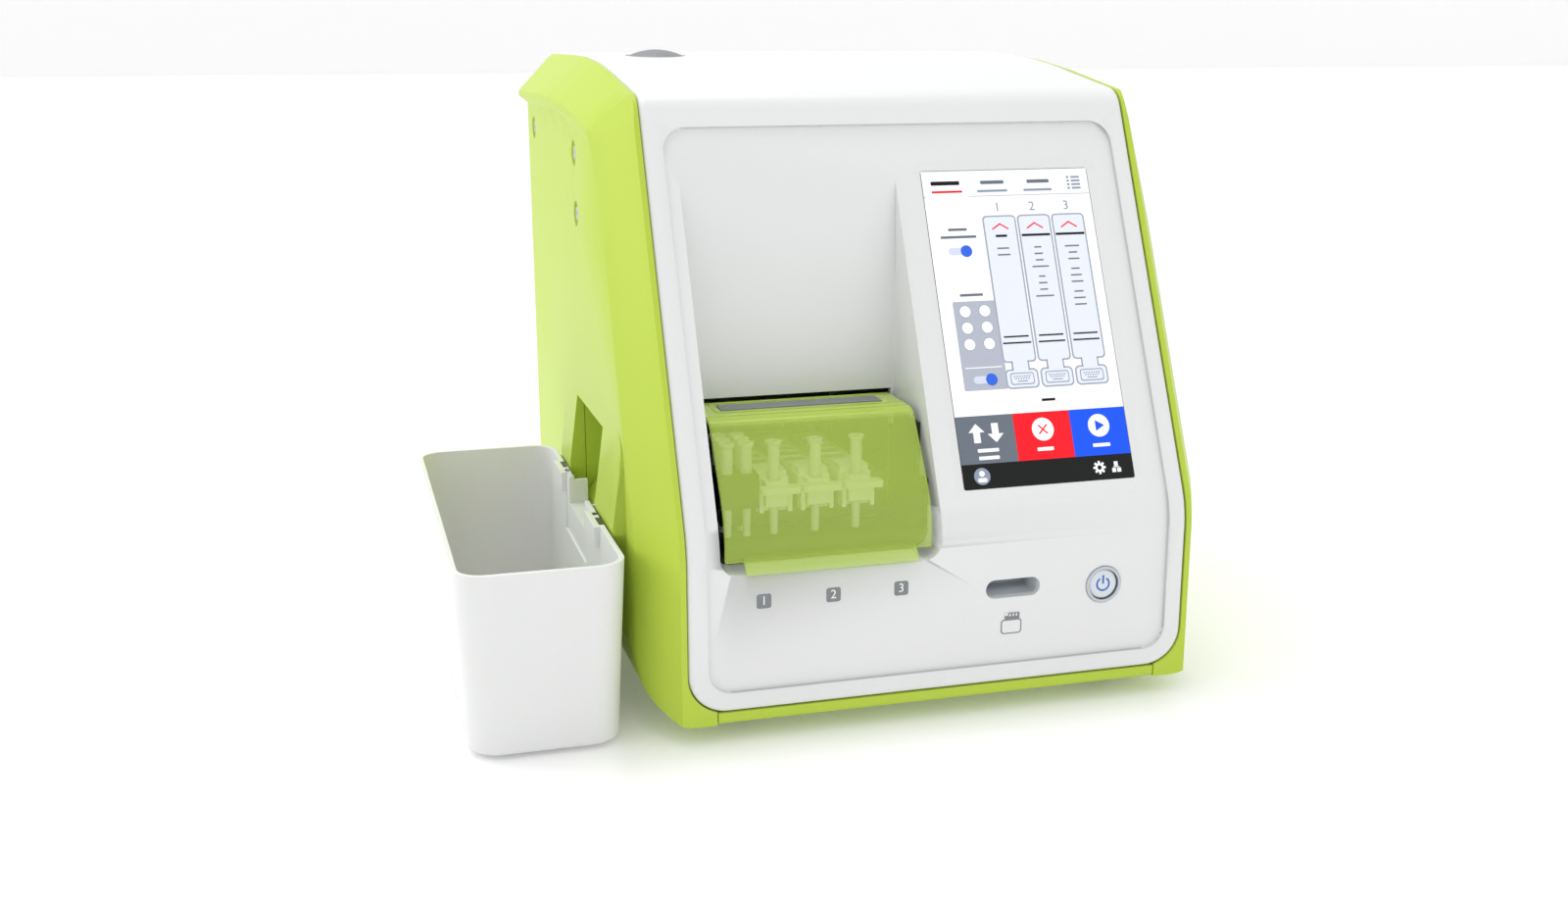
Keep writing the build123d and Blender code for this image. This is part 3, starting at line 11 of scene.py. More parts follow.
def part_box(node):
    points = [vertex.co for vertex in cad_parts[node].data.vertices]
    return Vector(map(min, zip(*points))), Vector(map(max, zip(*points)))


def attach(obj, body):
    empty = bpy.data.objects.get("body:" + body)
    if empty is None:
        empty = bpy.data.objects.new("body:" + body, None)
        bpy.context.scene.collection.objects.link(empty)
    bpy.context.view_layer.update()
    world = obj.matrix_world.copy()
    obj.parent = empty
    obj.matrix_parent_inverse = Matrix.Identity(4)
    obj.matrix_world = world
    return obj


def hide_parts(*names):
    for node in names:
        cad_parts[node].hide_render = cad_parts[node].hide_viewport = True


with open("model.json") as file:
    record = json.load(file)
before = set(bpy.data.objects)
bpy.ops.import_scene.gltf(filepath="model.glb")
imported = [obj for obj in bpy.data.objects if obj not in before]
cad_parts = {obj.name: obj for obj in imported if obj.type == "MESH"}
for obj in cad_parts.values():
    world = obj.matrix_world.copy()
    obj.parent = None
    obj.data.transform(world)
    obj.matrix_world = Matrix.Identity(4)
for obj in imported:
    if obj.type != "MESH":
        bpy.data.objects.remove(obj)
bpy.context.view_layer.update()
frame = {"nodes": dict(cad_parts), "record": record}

bl_info = {
    "name": "Rapid test reader",
    "version": (1, 0, 0),
    "blender": (4, 5, 0),
    "location": "3D View > Sidebar > Reader",
    "description": "Dresses the packed reader: mouldings, display picture, marks, bin, fasteners and studio",
    "category": "Object",
}

BODY_OF = {node: body for body, nodes in frame["record"]["behaviour"]["bodies"].items() for node in nodes}
MIDDLE_X = 38.5          # mm from the reader's own middle to the row's origin
TILT = radians(25.3)
KINK = (-171.0, 92.2)    # y and z where the upright front meets the tilted face
FACE_SINK = 2.2          # main face below the rim
BUTTON_SINK = 2.6        # power button's face below the rim

# the photograph's camera, and the studio round it
CAMERA_PLACE = (-0.2301, -0.8476, 0.3084)
CAMERA_DOWN = radians(14.04)
CAMERA_TURN = radians(15.82)
CAMERA_ROLL = radians(0.09)
LIGHT_TARGET = Vector((0.0, 0.0, 0.12))
FLOOR_REACH = 14.0       # half width of the floor, m
WALL_HEIGHT = 4.0        # pale wall at the floor's far edges, m


# ---------------------------------------------------------------- colours, sizes and studio a user would change
def colour_property(label, rgb, note):
    """A colour swatch, given as 0 to 255 as it is read off a screen."""
    return FloatVectorProperty(
        name=label, description=note, subtype="COLOR", size=3, min=0.0, max=1.0, default=[c / 255 for c in rgb]
    )


class ReaderColours(bpy.types.PropertyGroup):
    lime: colour_property("Lime", (188, 211, 78), "Side covers")
    lime_clear: colour_property("Clear lime", (222, 250, 106), "Lift-up cover over the cartridges")
    white: colour_property("White", (232, 233, 233), "Front panel, lid and bin")
    grey: colour_property("Grey", (126, 131, 134), "Latch, label strip and number plates")
    dark: colour_property("Dark", (34, 36, 38), "Feet, sockets and motors")
    blue: colour_property("Blue", (14, 84, 240), "Power mark and right-hand key on the display")
    red: colour_property("Red", (240, 14, 34), "Active tab and middle key on the display")
    slate: colour_property("Slate", (104, 112, 124), "Left-hand key on the display")


class ReaderSizes(bpy.types.PropertyGroup):
    edge: FloatProperty(
        name="Edge", description="Width of the softened edge on mouldings", default=0.00028, min=0.0, max=0.002,
        subtype="DISTANCE", unit="LENGTH",
    )
    grain: FloatProperty(
        name="Grain", description="Depth of the moulded grain", default=0.000006, min=0.0, max=0.0002,
        precision=6, subtype="DISTANCE", unit="LENGTH",
    )
    layer: FloatProperty(
        name="Layer", description="Height of one layer of the display picture", default=0.00003, min=0.00001,
        max=0.0002, precision=6, subtype="DISTANCE", unit="LENGTH",
    )
    thread_turns: IntProperty(
        name="Thread turns", description="Turns shown on the lead screw", default=19, min=1, max=60,
        subtype="UNSIGNED",
    )


class ReaderStudio(bpy.types.PropertyGroup):
    key_power: FloatProperty(
        name="Key light", description="Large soft light above", default=10.0, min=0.0, unit="POWER",
    )
    fill_power: FloatProperty(
        name="Fill light", description="Soft light from the left", default=6.0, min=0.0, unit="POWER",
    )
    front_power: FloatProperty(
        name="Front light", description="Soft light from the front", default=1.0, min=0.0, unit="POWER",
    )
    floor: colour_property("Floor", (252, 252, 252), "Plain pale floor")
    glow: FloatProperty(
        name="Floor glow", description="Light of the floor's own, for an even ground", default=0.12, min=0.0,
        subtype="FACTOR",
    )
    sky: FloatProperty(
        name="Room light", description="Even light from all round", default=0.86, min=0.0, max=10.0,
        subtype="FACTOR",
    )
    lens: FloatProperty(
        name="Lens", description="Focal length on a 36 mm wide frame", default=38.26, min=10.0, max=200.0,
        unit="CAMERA",
    )


# ---------------------------------------------------------------- places
def at(x, y, z):
    """A place given in the reader's own millimetres, as metres in the row's frame."""
    return Vector(((x + MIDDLE_X) / 1000, y / 1000, z / 1000))


def on_tilted_face(x, up, depth):
    """A place x across and up the tilted face, depth below its rim."""
    y = KINK[0] + up * sin(TILT) + depth * cos(TILT)
    z = KINK[1] + up * cos(TILT) - depth * sin(TILT)
    return at(x, y, z)


def linear(rgb):
    """Screen colour to the linear colour that shaders use."""
    return [c / 12.92 if c <= 0.04045 else ((c + 0.055) / 1.055) ** 2.4 for c in rgb]


def settle(piece):
    """Turn a piece with modifiers into a plain mesh."""
    bpy.context.view_layer.update()
    mesh = bpy.data.meshes.new_from_object(piece.evaluated_get(bpy.context.evaluated_depsgraph_get()))
    piece.modifiers.clear()
    piece.data = mesh
    return piece


def new_piece(name, mesh, body, materials=()):
    """Link a mesh as an object of the reader that rides on a body."""
    piece = bpy.data.objects.new(name, mesh)
    bpy.context.scene.collection.objects.link(piece)
    for material in materials:
        piece.data.materials.append(material)
    if body:
        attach(piece, body)
    return piece


# ---------------------------------------------------------------- shader groups
def math_node(tree, operation, a, b=None):
    """One sum in a shader tree; a number or a socket goes in, a socket comes out."""
    node = tree.nodes.new("ShaderNodeMath")
    node.operation = operation
    for socket, value in zip(node.inputs, (a, b)):
        if value is None:
            continue
        if isinstance(value, (int, float)):
            socket.default_value = value
        else:
            tree.links.new(value, socket)
    return node.outputs[0]


def surface_group():
    """Fine grain and faint unevenness: colour, roughness and normal from object coordinates."""
    name = "moulded_surface"
    if name in bpy.data.node_groups:
        return bpy.data.node_groups[name]
    tree = bpy.data.node_groups.new(name, "ShaderNodeTree")
    sockets = [
        ("Colour", "NodeSocketColor"), ("Vary", "NodeSocketFloat"), ("Rough", "NodeSocketFloat"),
        ("Rough vary", "NodeSocketFloat"), ("Scale", "NodeSocketFloat"), ("Depth", "NodeSocketFloat"),
        ("Stretch", "NodeSocketVector"),
    ]
    for label, kind in sockets:
        tree.interface.new_socket(label, in_out="INPUT", socket_type=kind)
    for label, kind in (
        ("Colour", "NodeSocketColor"), ("Roughness", "NodeSocketFloat"), ("Normal", "NodeSocketVector"),
    ):
        tree.interface.new_socket(label, in_out="OUTPUT", socket_type=kind)
    inside = tree.nodes.new("NodeGroupInput")
    outside = tree.nodes.new("NodeGroupOutput")
    coords = tree.nodes.new("ShaderNodeTexCoord")
    mapping = tree.nodes.new("ShaderNodeMapping")
    tree.links.new(coords.outputs["Object"], mapping.inputs["Vector"])
    tree.links.new(inside.outputs["Stretch"], mapping.inputs["Scale"])
    fine = tree.nodes.new("ShaderNodeTexNoise")
    fine.inputs["Detail"].default_value = 3.0
    tree.links.new(mapping.outputs[0], fine.inputs["Vector"])
    tree.links.new(inside.outputs["Scale"], fine.inputs["Scale"])
    broad = tree.nodes.new("ShaderNodeTexNoise")
    broad.inputs["Scale"].default_value = 14.0
    broad.inputs["Detail"].default_value = 4.0
    tree.links.new(coords.outputs["Object"], broad.inputs["Vector"])
    swing = math_node(tree, "SUBTRACT", broad.outputs["Fac"], 0.5)
    lift = math_node(tree, "MULTIPLY", swing, inside.outputs["Vary"])
    value = math_node(tree, "ADD", lift, 1.0)
    shade = tree.nodes.new("ShaderNodeHueSaturation")
    tree.links.new(inside.outputs["Colour"], shade.inputs["Color"])
    tree.links.new(value, shade.inputs["Value"])
    tree.links.new(shade.outputs[0], outside.inputs["Colour"])
    rough = math_node(tree, "MULTIPLY", swing, inside.outputs["Rough vary"])
    tree.links.new(math_node(tree, "ADD", rough, inside.outputs["Rough"]), outside.inputs["Roughness"])
    bump = tree.nodes.new("ShaderNodeBump")
    tree.links.new(fine.outputs["Fac"], bump.inputs["Height"])
    tree.links.new(inside.outputs["Depth"], bump.inputs["Distance"])
    tree.links.new(bump.outputs[0], outside.inputs["Normal"])
    return tree


def surface(name, rgb, rough, grain=1.0, scale=2600.0, vary=0.03, rough_vary=0.06, stretch=(1, 1, 1), **constants):
    """A material of its own finish: the moulded surface group with this finish's values, on a Principled shader."""
    if name in bpy.data.materials:
        return bpy.data.materials[name]
    material = bpy.data.materials.new(name)
    material.use_nodes = True
    tree = material.node_tree
    shader = tree.nodes["Principled BSDF"]
    group = tree.nodes.new("ShaderNodeGroup")
    group.node_tree = surface_group()
    values = {
        "Colour": (*linear(rgb), 1.0), "Vary": vary, "Rough": rough, "Rough vary": rough_vary, "Scale": scale,
        "Depth": grain * bpy.context.scene.reader_sizes.grain, "Stretch": stretch,
    }
    for label, value in values.items():
        group.inputs[label].default_value = value
    tree.links.new(group.outputs["Colour"], shader.inputs["Base Color"])
    tree.links.new(group.outputs["Roughness"], shader.inputs["Roughness"])
    tree.links.new(group.outputs["Normal"], shader.inputs["Normal"])
    for label, value in constants.items():
        shader.inputs[label.replace("_", " ")].default_value = value
    return material


def clear(material, straight=0.27, grazing=0.6):
    """Make a finish see-through where it is looked at straight on, and denser towards its edges."""
    tree = material.node_tree
    alpha = tree.nodes["Principled BSDF"].inputs["Alpha"]
    if alpha.is_linked:
        return material
    facing = tree.nodes.new("ShaderNodeLayerWeight")
    facing.inputs["Blend"].default_value = 0.35
    denser = math_node(tree, "MULTIPLY", facing.outputs["Facing"], grazing)
    tree.links.new(math_node(tree, "ADD", denser, straight), alpha)
    return material


def finishes():
    """Every finish of the reader, by name."""
    c = bpy.context.scene.reader_colours
    steel = dict(Metallic=1.0)
    return {
        "lime": surface("lime_moulding", c.lime, 0.36, 0.5, vary=0.02, Specular_IOR_Level=0.12),
        "clear_lime": clear(
            surface("clear_lime_moulding", c.lime_clear, 0.12, 0.2, Coat_Weight=0.4, Coat_Roughness=0.04)
        ),
        "white": surface("white_moulding", c.white, 0.3, 0.6, Specular_IOR_Level=0.4),
        "bin_white": surface(
            "bin_moulding", (0.9, 0.905, 0.905), 0.38, 1.2, Subsurface_Weight=0.12, Subsurface_Scale=0.004,
        ),
        "grey": surface("grey_moulding", c.grey, 0.42, 1.0),
        "pale_grey": surface("pale_grey_moulding", (0.74, 0.76, 0.78), 0.4, 1.0),
        "dark": surface("dark_moulding", c.dark, 0.45, 1.4),
        "rubber": surface("foot_rubber", (0.1, 0.1, 0.1), 0.8, 3.0, scale=1400.0),
        "steel": surface("turned_steel", (0.74, 0.75, 0.77), 0.28, 2.0, stretch=(1, 14, 1), **steel),
        "sheet": surface("bent_sheet", (0.78, 0.79, 0.8), 0.42, 2.0, stretch=(1, 1, 12), **steel),
        "brass": surface("turned_brass", (0.8, 0.66, 0.36), 0.3, 1.5, stretch=(1, 10, 1), **steel),
        "board": surface("board_lacquer", (0.05, 0.32, 0.18), 0.35, 2.0, scale=900.0, vary=0.12),
        "tip": surface("tip_plastic", (0.95, 0.96, 0.93), 0.2, 0.3, Subsurface_Weight=0.3, Subsurface_Scale=0.003),
        "magnet": surface("magnet_plating", (0.2, 0.21, 0.2), 0.22, 0.5, **steel),
        "black": surface("black_moulding", (0.045, 0.045, 0.05), 0.35, 1.0),
        "cartridge": surface(
            "cartridge_plastic", (0.93, 0.94, 0.9), 0.25, 0.4, Subsurface_Weight=0.1, Subsurface_Scale=0.002,
        ),
        "foil": surface("sealing_foil", (0.82, 0.83, 0.85), 0.3, 6.0, scale=1500.0, **steel),
        "paper": surface("roll_paper", (0.97, 0.97, 0.95), 0.75, 2.0, scale=4000.0),
        "button": surface("button_cap", (0.86, 0.88, 0.9), 0.22, 0.3, Coat_Weight=0.5),
        "ring": surface("button_ring_metal", (0.72, 0.74, 0.77), 0.25, 1.0, **steel),
        "glass": surface("display_glass", (0.03, 0.035, 0.04), 0.06, 0.0, Coat_Weight=1.0),
        "mark_blue": surface("mark_blue", (0.2, 0.42, 0.78), 0.35, 0.5),
        "mark_grey": surface("mark_grey", c.grey, 0.4, 0.5),
        "mark_white": surface("mark_white", (0.96, 0.96, 0.96), 0.4, 0.5),
    }


def lit(name, rgb, glow=0.15):
    """A colour with a faint light of its own, for the display picture and the floor."""
    full = "lit_" + name
    if full in bpy.data.materials:
        return bpy.data.materials[full]
    material = surface(full, rgb, 0.25, 0.0, vary=0.0, rough_vary=0.0, Specular_IOR_Level=0.25)
    shader = material.node_tree.nodes["Principled BSDF"]
    shader.inputs["Emission Color"].default_value = (*linear(rgb), 1.0)
    shader.inputs["Emission Strength"].default_value = glow
    return material


# ---------------------------------------------------------------- geometry trees
def socket_ids(tree):
    """Each named input of a geometry tree and the identifier that a modifier knows it by."""
    return {s.name: s.identifier for s in tree.interface.items_tree if s.in_out == "INPUT"}


def bar_row_tree():
    """A straight row of equal bars: Count, Start, Step and Size."""
    name = "bar_row"
    if name in bpy.data.node_groups:
        return bpy.data.node_groups[name]
    tree = bpy.data.node_groups.new(name, "GeometryNodeTree")
    tree.interface.new_socket("Geometry", in_out="OUTPUT", socket_type="NodeSocketGeometry")
    for label, kind in (
        ("Count", "NodeSocketInt"), ("Start", "NodeSocketVector"), ("Step", "NodeSocketVector"),
        ("Size", "NodeSocketVector"), ("Finish", "NodeSocketMaterial"),
    ):
        tree.interface.new_socket(label, in_out="INPUT", socket_type=kind)
    inside = tree.nodes.new("NodeGroupInput")
    outside = tree.nodes.new("NodeGroupOutput")
    line = tree.nodes.new("GeometryNodeMeshLine")
    line.mode = "OFFSET"
    bar = tree.nodes.new("GeometryNodeMeshCube")
    place = tree.nodes.new("GeometryNodeInstanceOnPoints")
    real = tree.nodes.new("GeometryNodeRealizeInstances")
    paint = tree.nodes.new("GeometryNodeSetMaterial")
    links = tree.links
    links.new(inside.outputs["Count"], line.inputs["Count"])
    links.new(inside.outputs["Start"], line.inputs["Start Location"])
    links.new(inside.outputs["Step"], line.inputs["Offset"])
    links.new(inside.outputs["Size"], bar.inputs["Size"])
    links.new(line.outputs["Mesh"], place.inputs["Points"])
    links.new(bar.outputs["Mesh"], place.inputs["Instance"])
    links.new(place.outputs["Instances"], real.inputs["Geometry"])
    links.new(real.outputs["Geometry"], paint.inputs["Geometry"])
    links.new(inside.outputs["Finish"], paint.inputs["Material"])
    links.new(paint.outputs["Geometry"], outside.inputs["Geometry"])
    return tree


def thread_tree():
    """A screw thread: Turns, Length, Radius and Wire of a helix."""
    name = "screw_thread"
    if name in bpy.data.node_groups:
        return bpy.data.node_groups[name]
    tree = bpy.data.node_groups.new(name, "GeometryNodeTree")
    tree.interface.new_socket("Geometry", in_out="OUTPUT", socket_type="NodeSocketGeometry")
    for label, kind in (
        ("Turns", "NodeSocketFloat"), ("Length", "NodeSocketFloat"), ("Radius", "NodeSocketFloat"),
        ("Wire", "NodeSocketFloat"), ("Finish", "NodeSocketMaterial"),
    ):
        tree.interface.new_socket(label, in_out="INPUT", socket_type=kind)
    inside = tree.nodes.new("NodeGroupInput")
    outside = tree.nodes.new("NodeGroupOutput")
    spiral = tree.nodes.new("GeometryNodeCurveSpiral")
    spiral.inputs["Resolution"].default_value = 24
    profile = tree.nodes.new("GeometryNodeCurvePrimitiveCircle")
    profile.inputs["Resolution"].default_value = 6
    skin = tree.nodes.new("GeometryNodeCurveToMesh")
    skin.inputs["Fill Caps"].default_value = True
    real = tree.nodes.new("GeometryNodeRealizeInstances")
    paint = tree.nodes.new("GeometryNodeSetMaterial")
    links = tree.links
    links.new(inside.outputs["Turns"], spiral.inputs["Rotations"])
    links.new(inside.outputs["Length"], spiral.inputs["Height"])
    links.new(inside.outputs["Radius"], spiral.inputs["Start Radius"])
    links.new(inside.outputs["Radius"], spiral.inputs["End Radius"])
    links.new(inside.outputs["Wire"], profile.inputs["Radius"])
    links.new(spiral.outputs["Curve"], skin.inputs["Curve"])
    links.new(profile.outputs["Curve"], skin.inputs["Profile Curve"])
    links.new(skin.outputs["Mesh"], real.inputs["Geometry"])
    links.new(real.outputs["Geometry"], paint.inputs["Geometry"])
    links.new(inside.outputs["Finish"], paint.inputs["Material"])
    links.new(paint.outputs["Geometry"], outside.inputs["Geometry"])
    return tree


def grown(name, tree, values, body, turn=None):
    """Run a geometry tree with these inputs and keep its result as a plain mesh that rides on a body."""
    piece = new_piece(name, bpy.data.meshes.new(name), None)
    modifier = piece.modifiers.new("grow", "NODES")
    modifier.node_group = tree
    for label, identifier in socket_ids(tree).items():
        modifier[identifier] = values[label]
    settle(piece)
    if turn is not None:
        piece.data.transform(turn)
    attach(piece, body)
    return piece


def bar_row(name, body, count, start, step, size, finish):
    """A row of equal bars as a piece of its own."""
    return grown(
        name, bar_row_tree(),
        {"Count": count, "Start": start, "Step": step, "Size": size, "Finish": finish}, body,
    )


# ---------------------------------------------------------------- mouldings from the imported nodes
def soften(node, finish, edge=None, smooth=32.0):
    """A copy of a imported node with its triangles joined, its edges softened and a finish of its own."""
    mesh = frame["nodes"][node].data.copy()
    mesh.materials.clear()
    work = bmesh.new()
    work.from_mesh(mesh)
    bmesh.ops.remove_doubles(work, verts=work.verts, dist=2e-6)
    work.to_mesh(mesh)
    work.free()
    piece = new_piece(node + "_shell", mesh, None, [finish])
    if edge is None:
        edge = bpy.context.scene.reader_sizes.edge
    count = len(mesh.polygons)
    mesh.polygons.foreach_set("use_smooth", [True] * count)
    mesh.polygons.foreach_set("material_index", [0] * count)
    if edge:
        bevel = piece.modifiers.new("edge", "BEVEL")
        bevel.width = edge
        bevel.segments = 2
        bevel.limit_method = "ANGLE"
        bevel.angle_limit = radians(smooth + 8)
        bevel.use_clamp_overlap = False      # a clamp would let one short edge thin them all
        bevel.harden_normals = False
        settle(piece)
    piece.data.set_sharp_from_angle(angle=radians(smooth))
    # normals follow the large faces, so that flat walls shade flat up to their edges
    flat = piece.modifiers.new("flat", "WEIGHTED_NORMAL")
    flat.keep_sharp = True
    flat.weight = 100
    settle(piece)
    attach(piece, BODY_OF[node])
    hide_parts(node)
    return piece


def paint_node(node, finish):
    """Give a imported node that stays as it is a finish."""
    target = frame["nodes"][node]
    if not target.material_slots:
        target.data.materials.append(finish)
    for slot in target.material_slots:
        slot.material = finish


# ---------------------------------------------------------------- flat pictures
class Picture:
    """Flat coloured shapes on a plane, in layers that stand a hair above one another."""

    def __init__(self, place, normal, layer):
        self.place = place
        self.normal = normal
        self.layer = layer
        self.work = bmesh.new()
        self.finishes = []

    def polygon(self, points, finish, layer):
        """Points are (across, up) in mm; the face looks along the normal."""
        if finish not in self.finishes:
            self.finishes.append(finish)
        lift = self.normal * (self.layer * layer)
        corners = [self.work.verts.new(self.place(x, y) + lift) for x, y in points]
        face = self.work.faces.new(corners)
        face.normal_update()
        if face.normal.dot(self.normal) < 0:
            face.normal_flip()
        face.material_index = self.finishes.index(finish)

    def block(self, x0, y0, x1, y1, finish, layer, corner=0.0, steps=5):
        """A rectangle between two corners, rounded by corner."""
        x0, x1 = min(x0, x1), max(x0, x1)
        y0, y1 = min(y0, y1), max(y0, y1)
        if corner <= 0:
            self.polygon([(x0, y0), (x1, y0), (x1, y1), (x0, y1)], finish, layer)
            return
        points = []
        for cx, cy, first in (
            (x1 - corner, y0 + corner, -90), (x1 - corner, y1 - corner, 0), (x0 + corner, y1 - corner, 90),
            (x0 + corner, y0 + corner, 180),
        ):
            for i in range(steps + 1):
                a = radians(first + 90 * i / steps)
                points.append((cx + corner * cos(a), cy + corner * sin(a)))
        self.polygon(points, finish, layer)

    def disc(self, x, y, radius, finish, layer, sides=32):
        """A round spot."""
        self.polygon(
            [(x + radius * cos(2 * pi * i / sides), y + radius * sin(2 * pi * i / sides)) for i in range(sides)],
            finish, layer,
        )

    def band(self, points, width, finish, layer):
        """A line of even width through points, one piece for each run."""
        for (xa, ya), (xb, yb) in zip(points, points[1:]):
            run = Vector((xb - xa, yb - ya)).normalized()
            side = Vector((-run.y, run.x)) * (width / 2)
            end = run * (width / 2)
            a = Vector((xa, ya)) - end
            b = Vector((xb, yb)) + end
            self.polygon([a - side, b - side, b + side, a + side], finish, layer)

    def arc(self, x, y, radius, width, first, last, finish, layer, steps=24):
        """A bent line of even width from one angle to another, in degrees."""
        inner, outer = radius - width / 2, radius + width / 2
        angles = [radians(first + (last - first) * i / steps) for i in range(steps + 1)]
        for a, b in zip(angles, angles[1:]):
            self.polygon(
                [
                    (x + inner * cos(a), y + inner * sin(a)), (x + outer * cos(a), y + outer * sin(a)),
                    (x + outer * cos(b), y + outer * sin(b)), (x + inner * cos(b), y + inner * sin(b)),
                ],
                finish, layer,
            )

    def numeral(self, text, x, y, height, finish, layer):
        """A plain numeral, centred."""
        curve = bpy.data.curves.new("numeral", "FONT")
        curve.body = text
        curve.size = height * 1.4
        curve.align_x = "CENTER"
        curve.align_y = "CENTER"
        curve.resolution_u = 4
        holder = bpy.data.objects.new("numeral", curve)
        bpy.context.scene.collection.objects.link(holder)
        bpy.context.view_layer.update()
        mesh = bpy.data.meshes.new_from_object(holder.evaluated_get(bpy.context.evaluated_depsgraph_get()))
        for polygon in mesh.polygons:
            self.polygon(
                [(x + mesh.vertices[i].co.x, y + mesh.vertices[i].co.y) for i in polygon.vertices], finish, layer
            )
        bpy.data.objects.remove(holder)

    def done(self, name, body):
        """Close the picture as a piece that rides on a body."""
        mesh = bpy.data.meshes.new(name)
        self.work.to_mesh(mesh)
        self.work.free()
        return new_piece(name, mesh, body, self.finishes)


# ---------------------------------------------------------------- the display picture
SCREEN_WIDTH = 85.9
SCREEN_HEIGHT = 154.2
SCREEN_MIDDLE = (54.95, 94.3)
SCREEN_DEPTH = 3.6       # glass below the rim

# short bars on the display, in shares of its height and width
# keys: place down and half width
KEY_BARS = (((0.885, 0.062), (0.908, 0.06)), ((0.893, 0.048),), ((0.893, 0.052),))
# lanes: place down, half width, height and colour
LANE_BARS = (
    ((0.215, 0.034, 0.0075, "black"), (0.255, 0.036, 0.0045, "grey"), (0.276, 0.038, 0.0045, "grey"),
     (0.538, 0.074, 0.005, "black"), (0.558, 0.084, 0.005, "black")),
    ((0.215, 0.086, 0.0075, "black"), (0.255, 0.022, 0.0045, "grey"), (0.276, 0.026, 0.0045, "grey"),
     (0.297, 0.024, 0.0045, "grey"), (0.318, 0.05, 0.0045, "grey"), (0.35, 0.02, 0.0045, "grey"),
     (0.371, 0.026, 0.0045, "grey"), (0.392, 0.024, 0.0045, "grey"), (0.413, 0.054, 0.0045, "grey"),
     (0.538, 0.074, 0.005, "black"), (0.558, 0.08, 0.005, "black")),
    ((0.215, 0.088, 0.0075, "black"), (0.255, 0.044, 0.0045, "grey"), (0.276, 0.026, 0.0045, "grey"),
     (0.297, 0.034, 0.0045, "grey"), (0.329, 0.026, 0.0045, "grey"), (0.35, 0.034, 0.0045, "grey"),
     (0.371, 0.036, 0.0045, "grey"), (0.403, 0.028, 0.0045, "grey"), (0.424, 0.036, 0.0045, "grey"),
     (0.445, 0.036, 0.0045, "grey"), (0.538, 0.074, 0.005, "black"), (0.558, 0.08, 0.005, "black")),
)


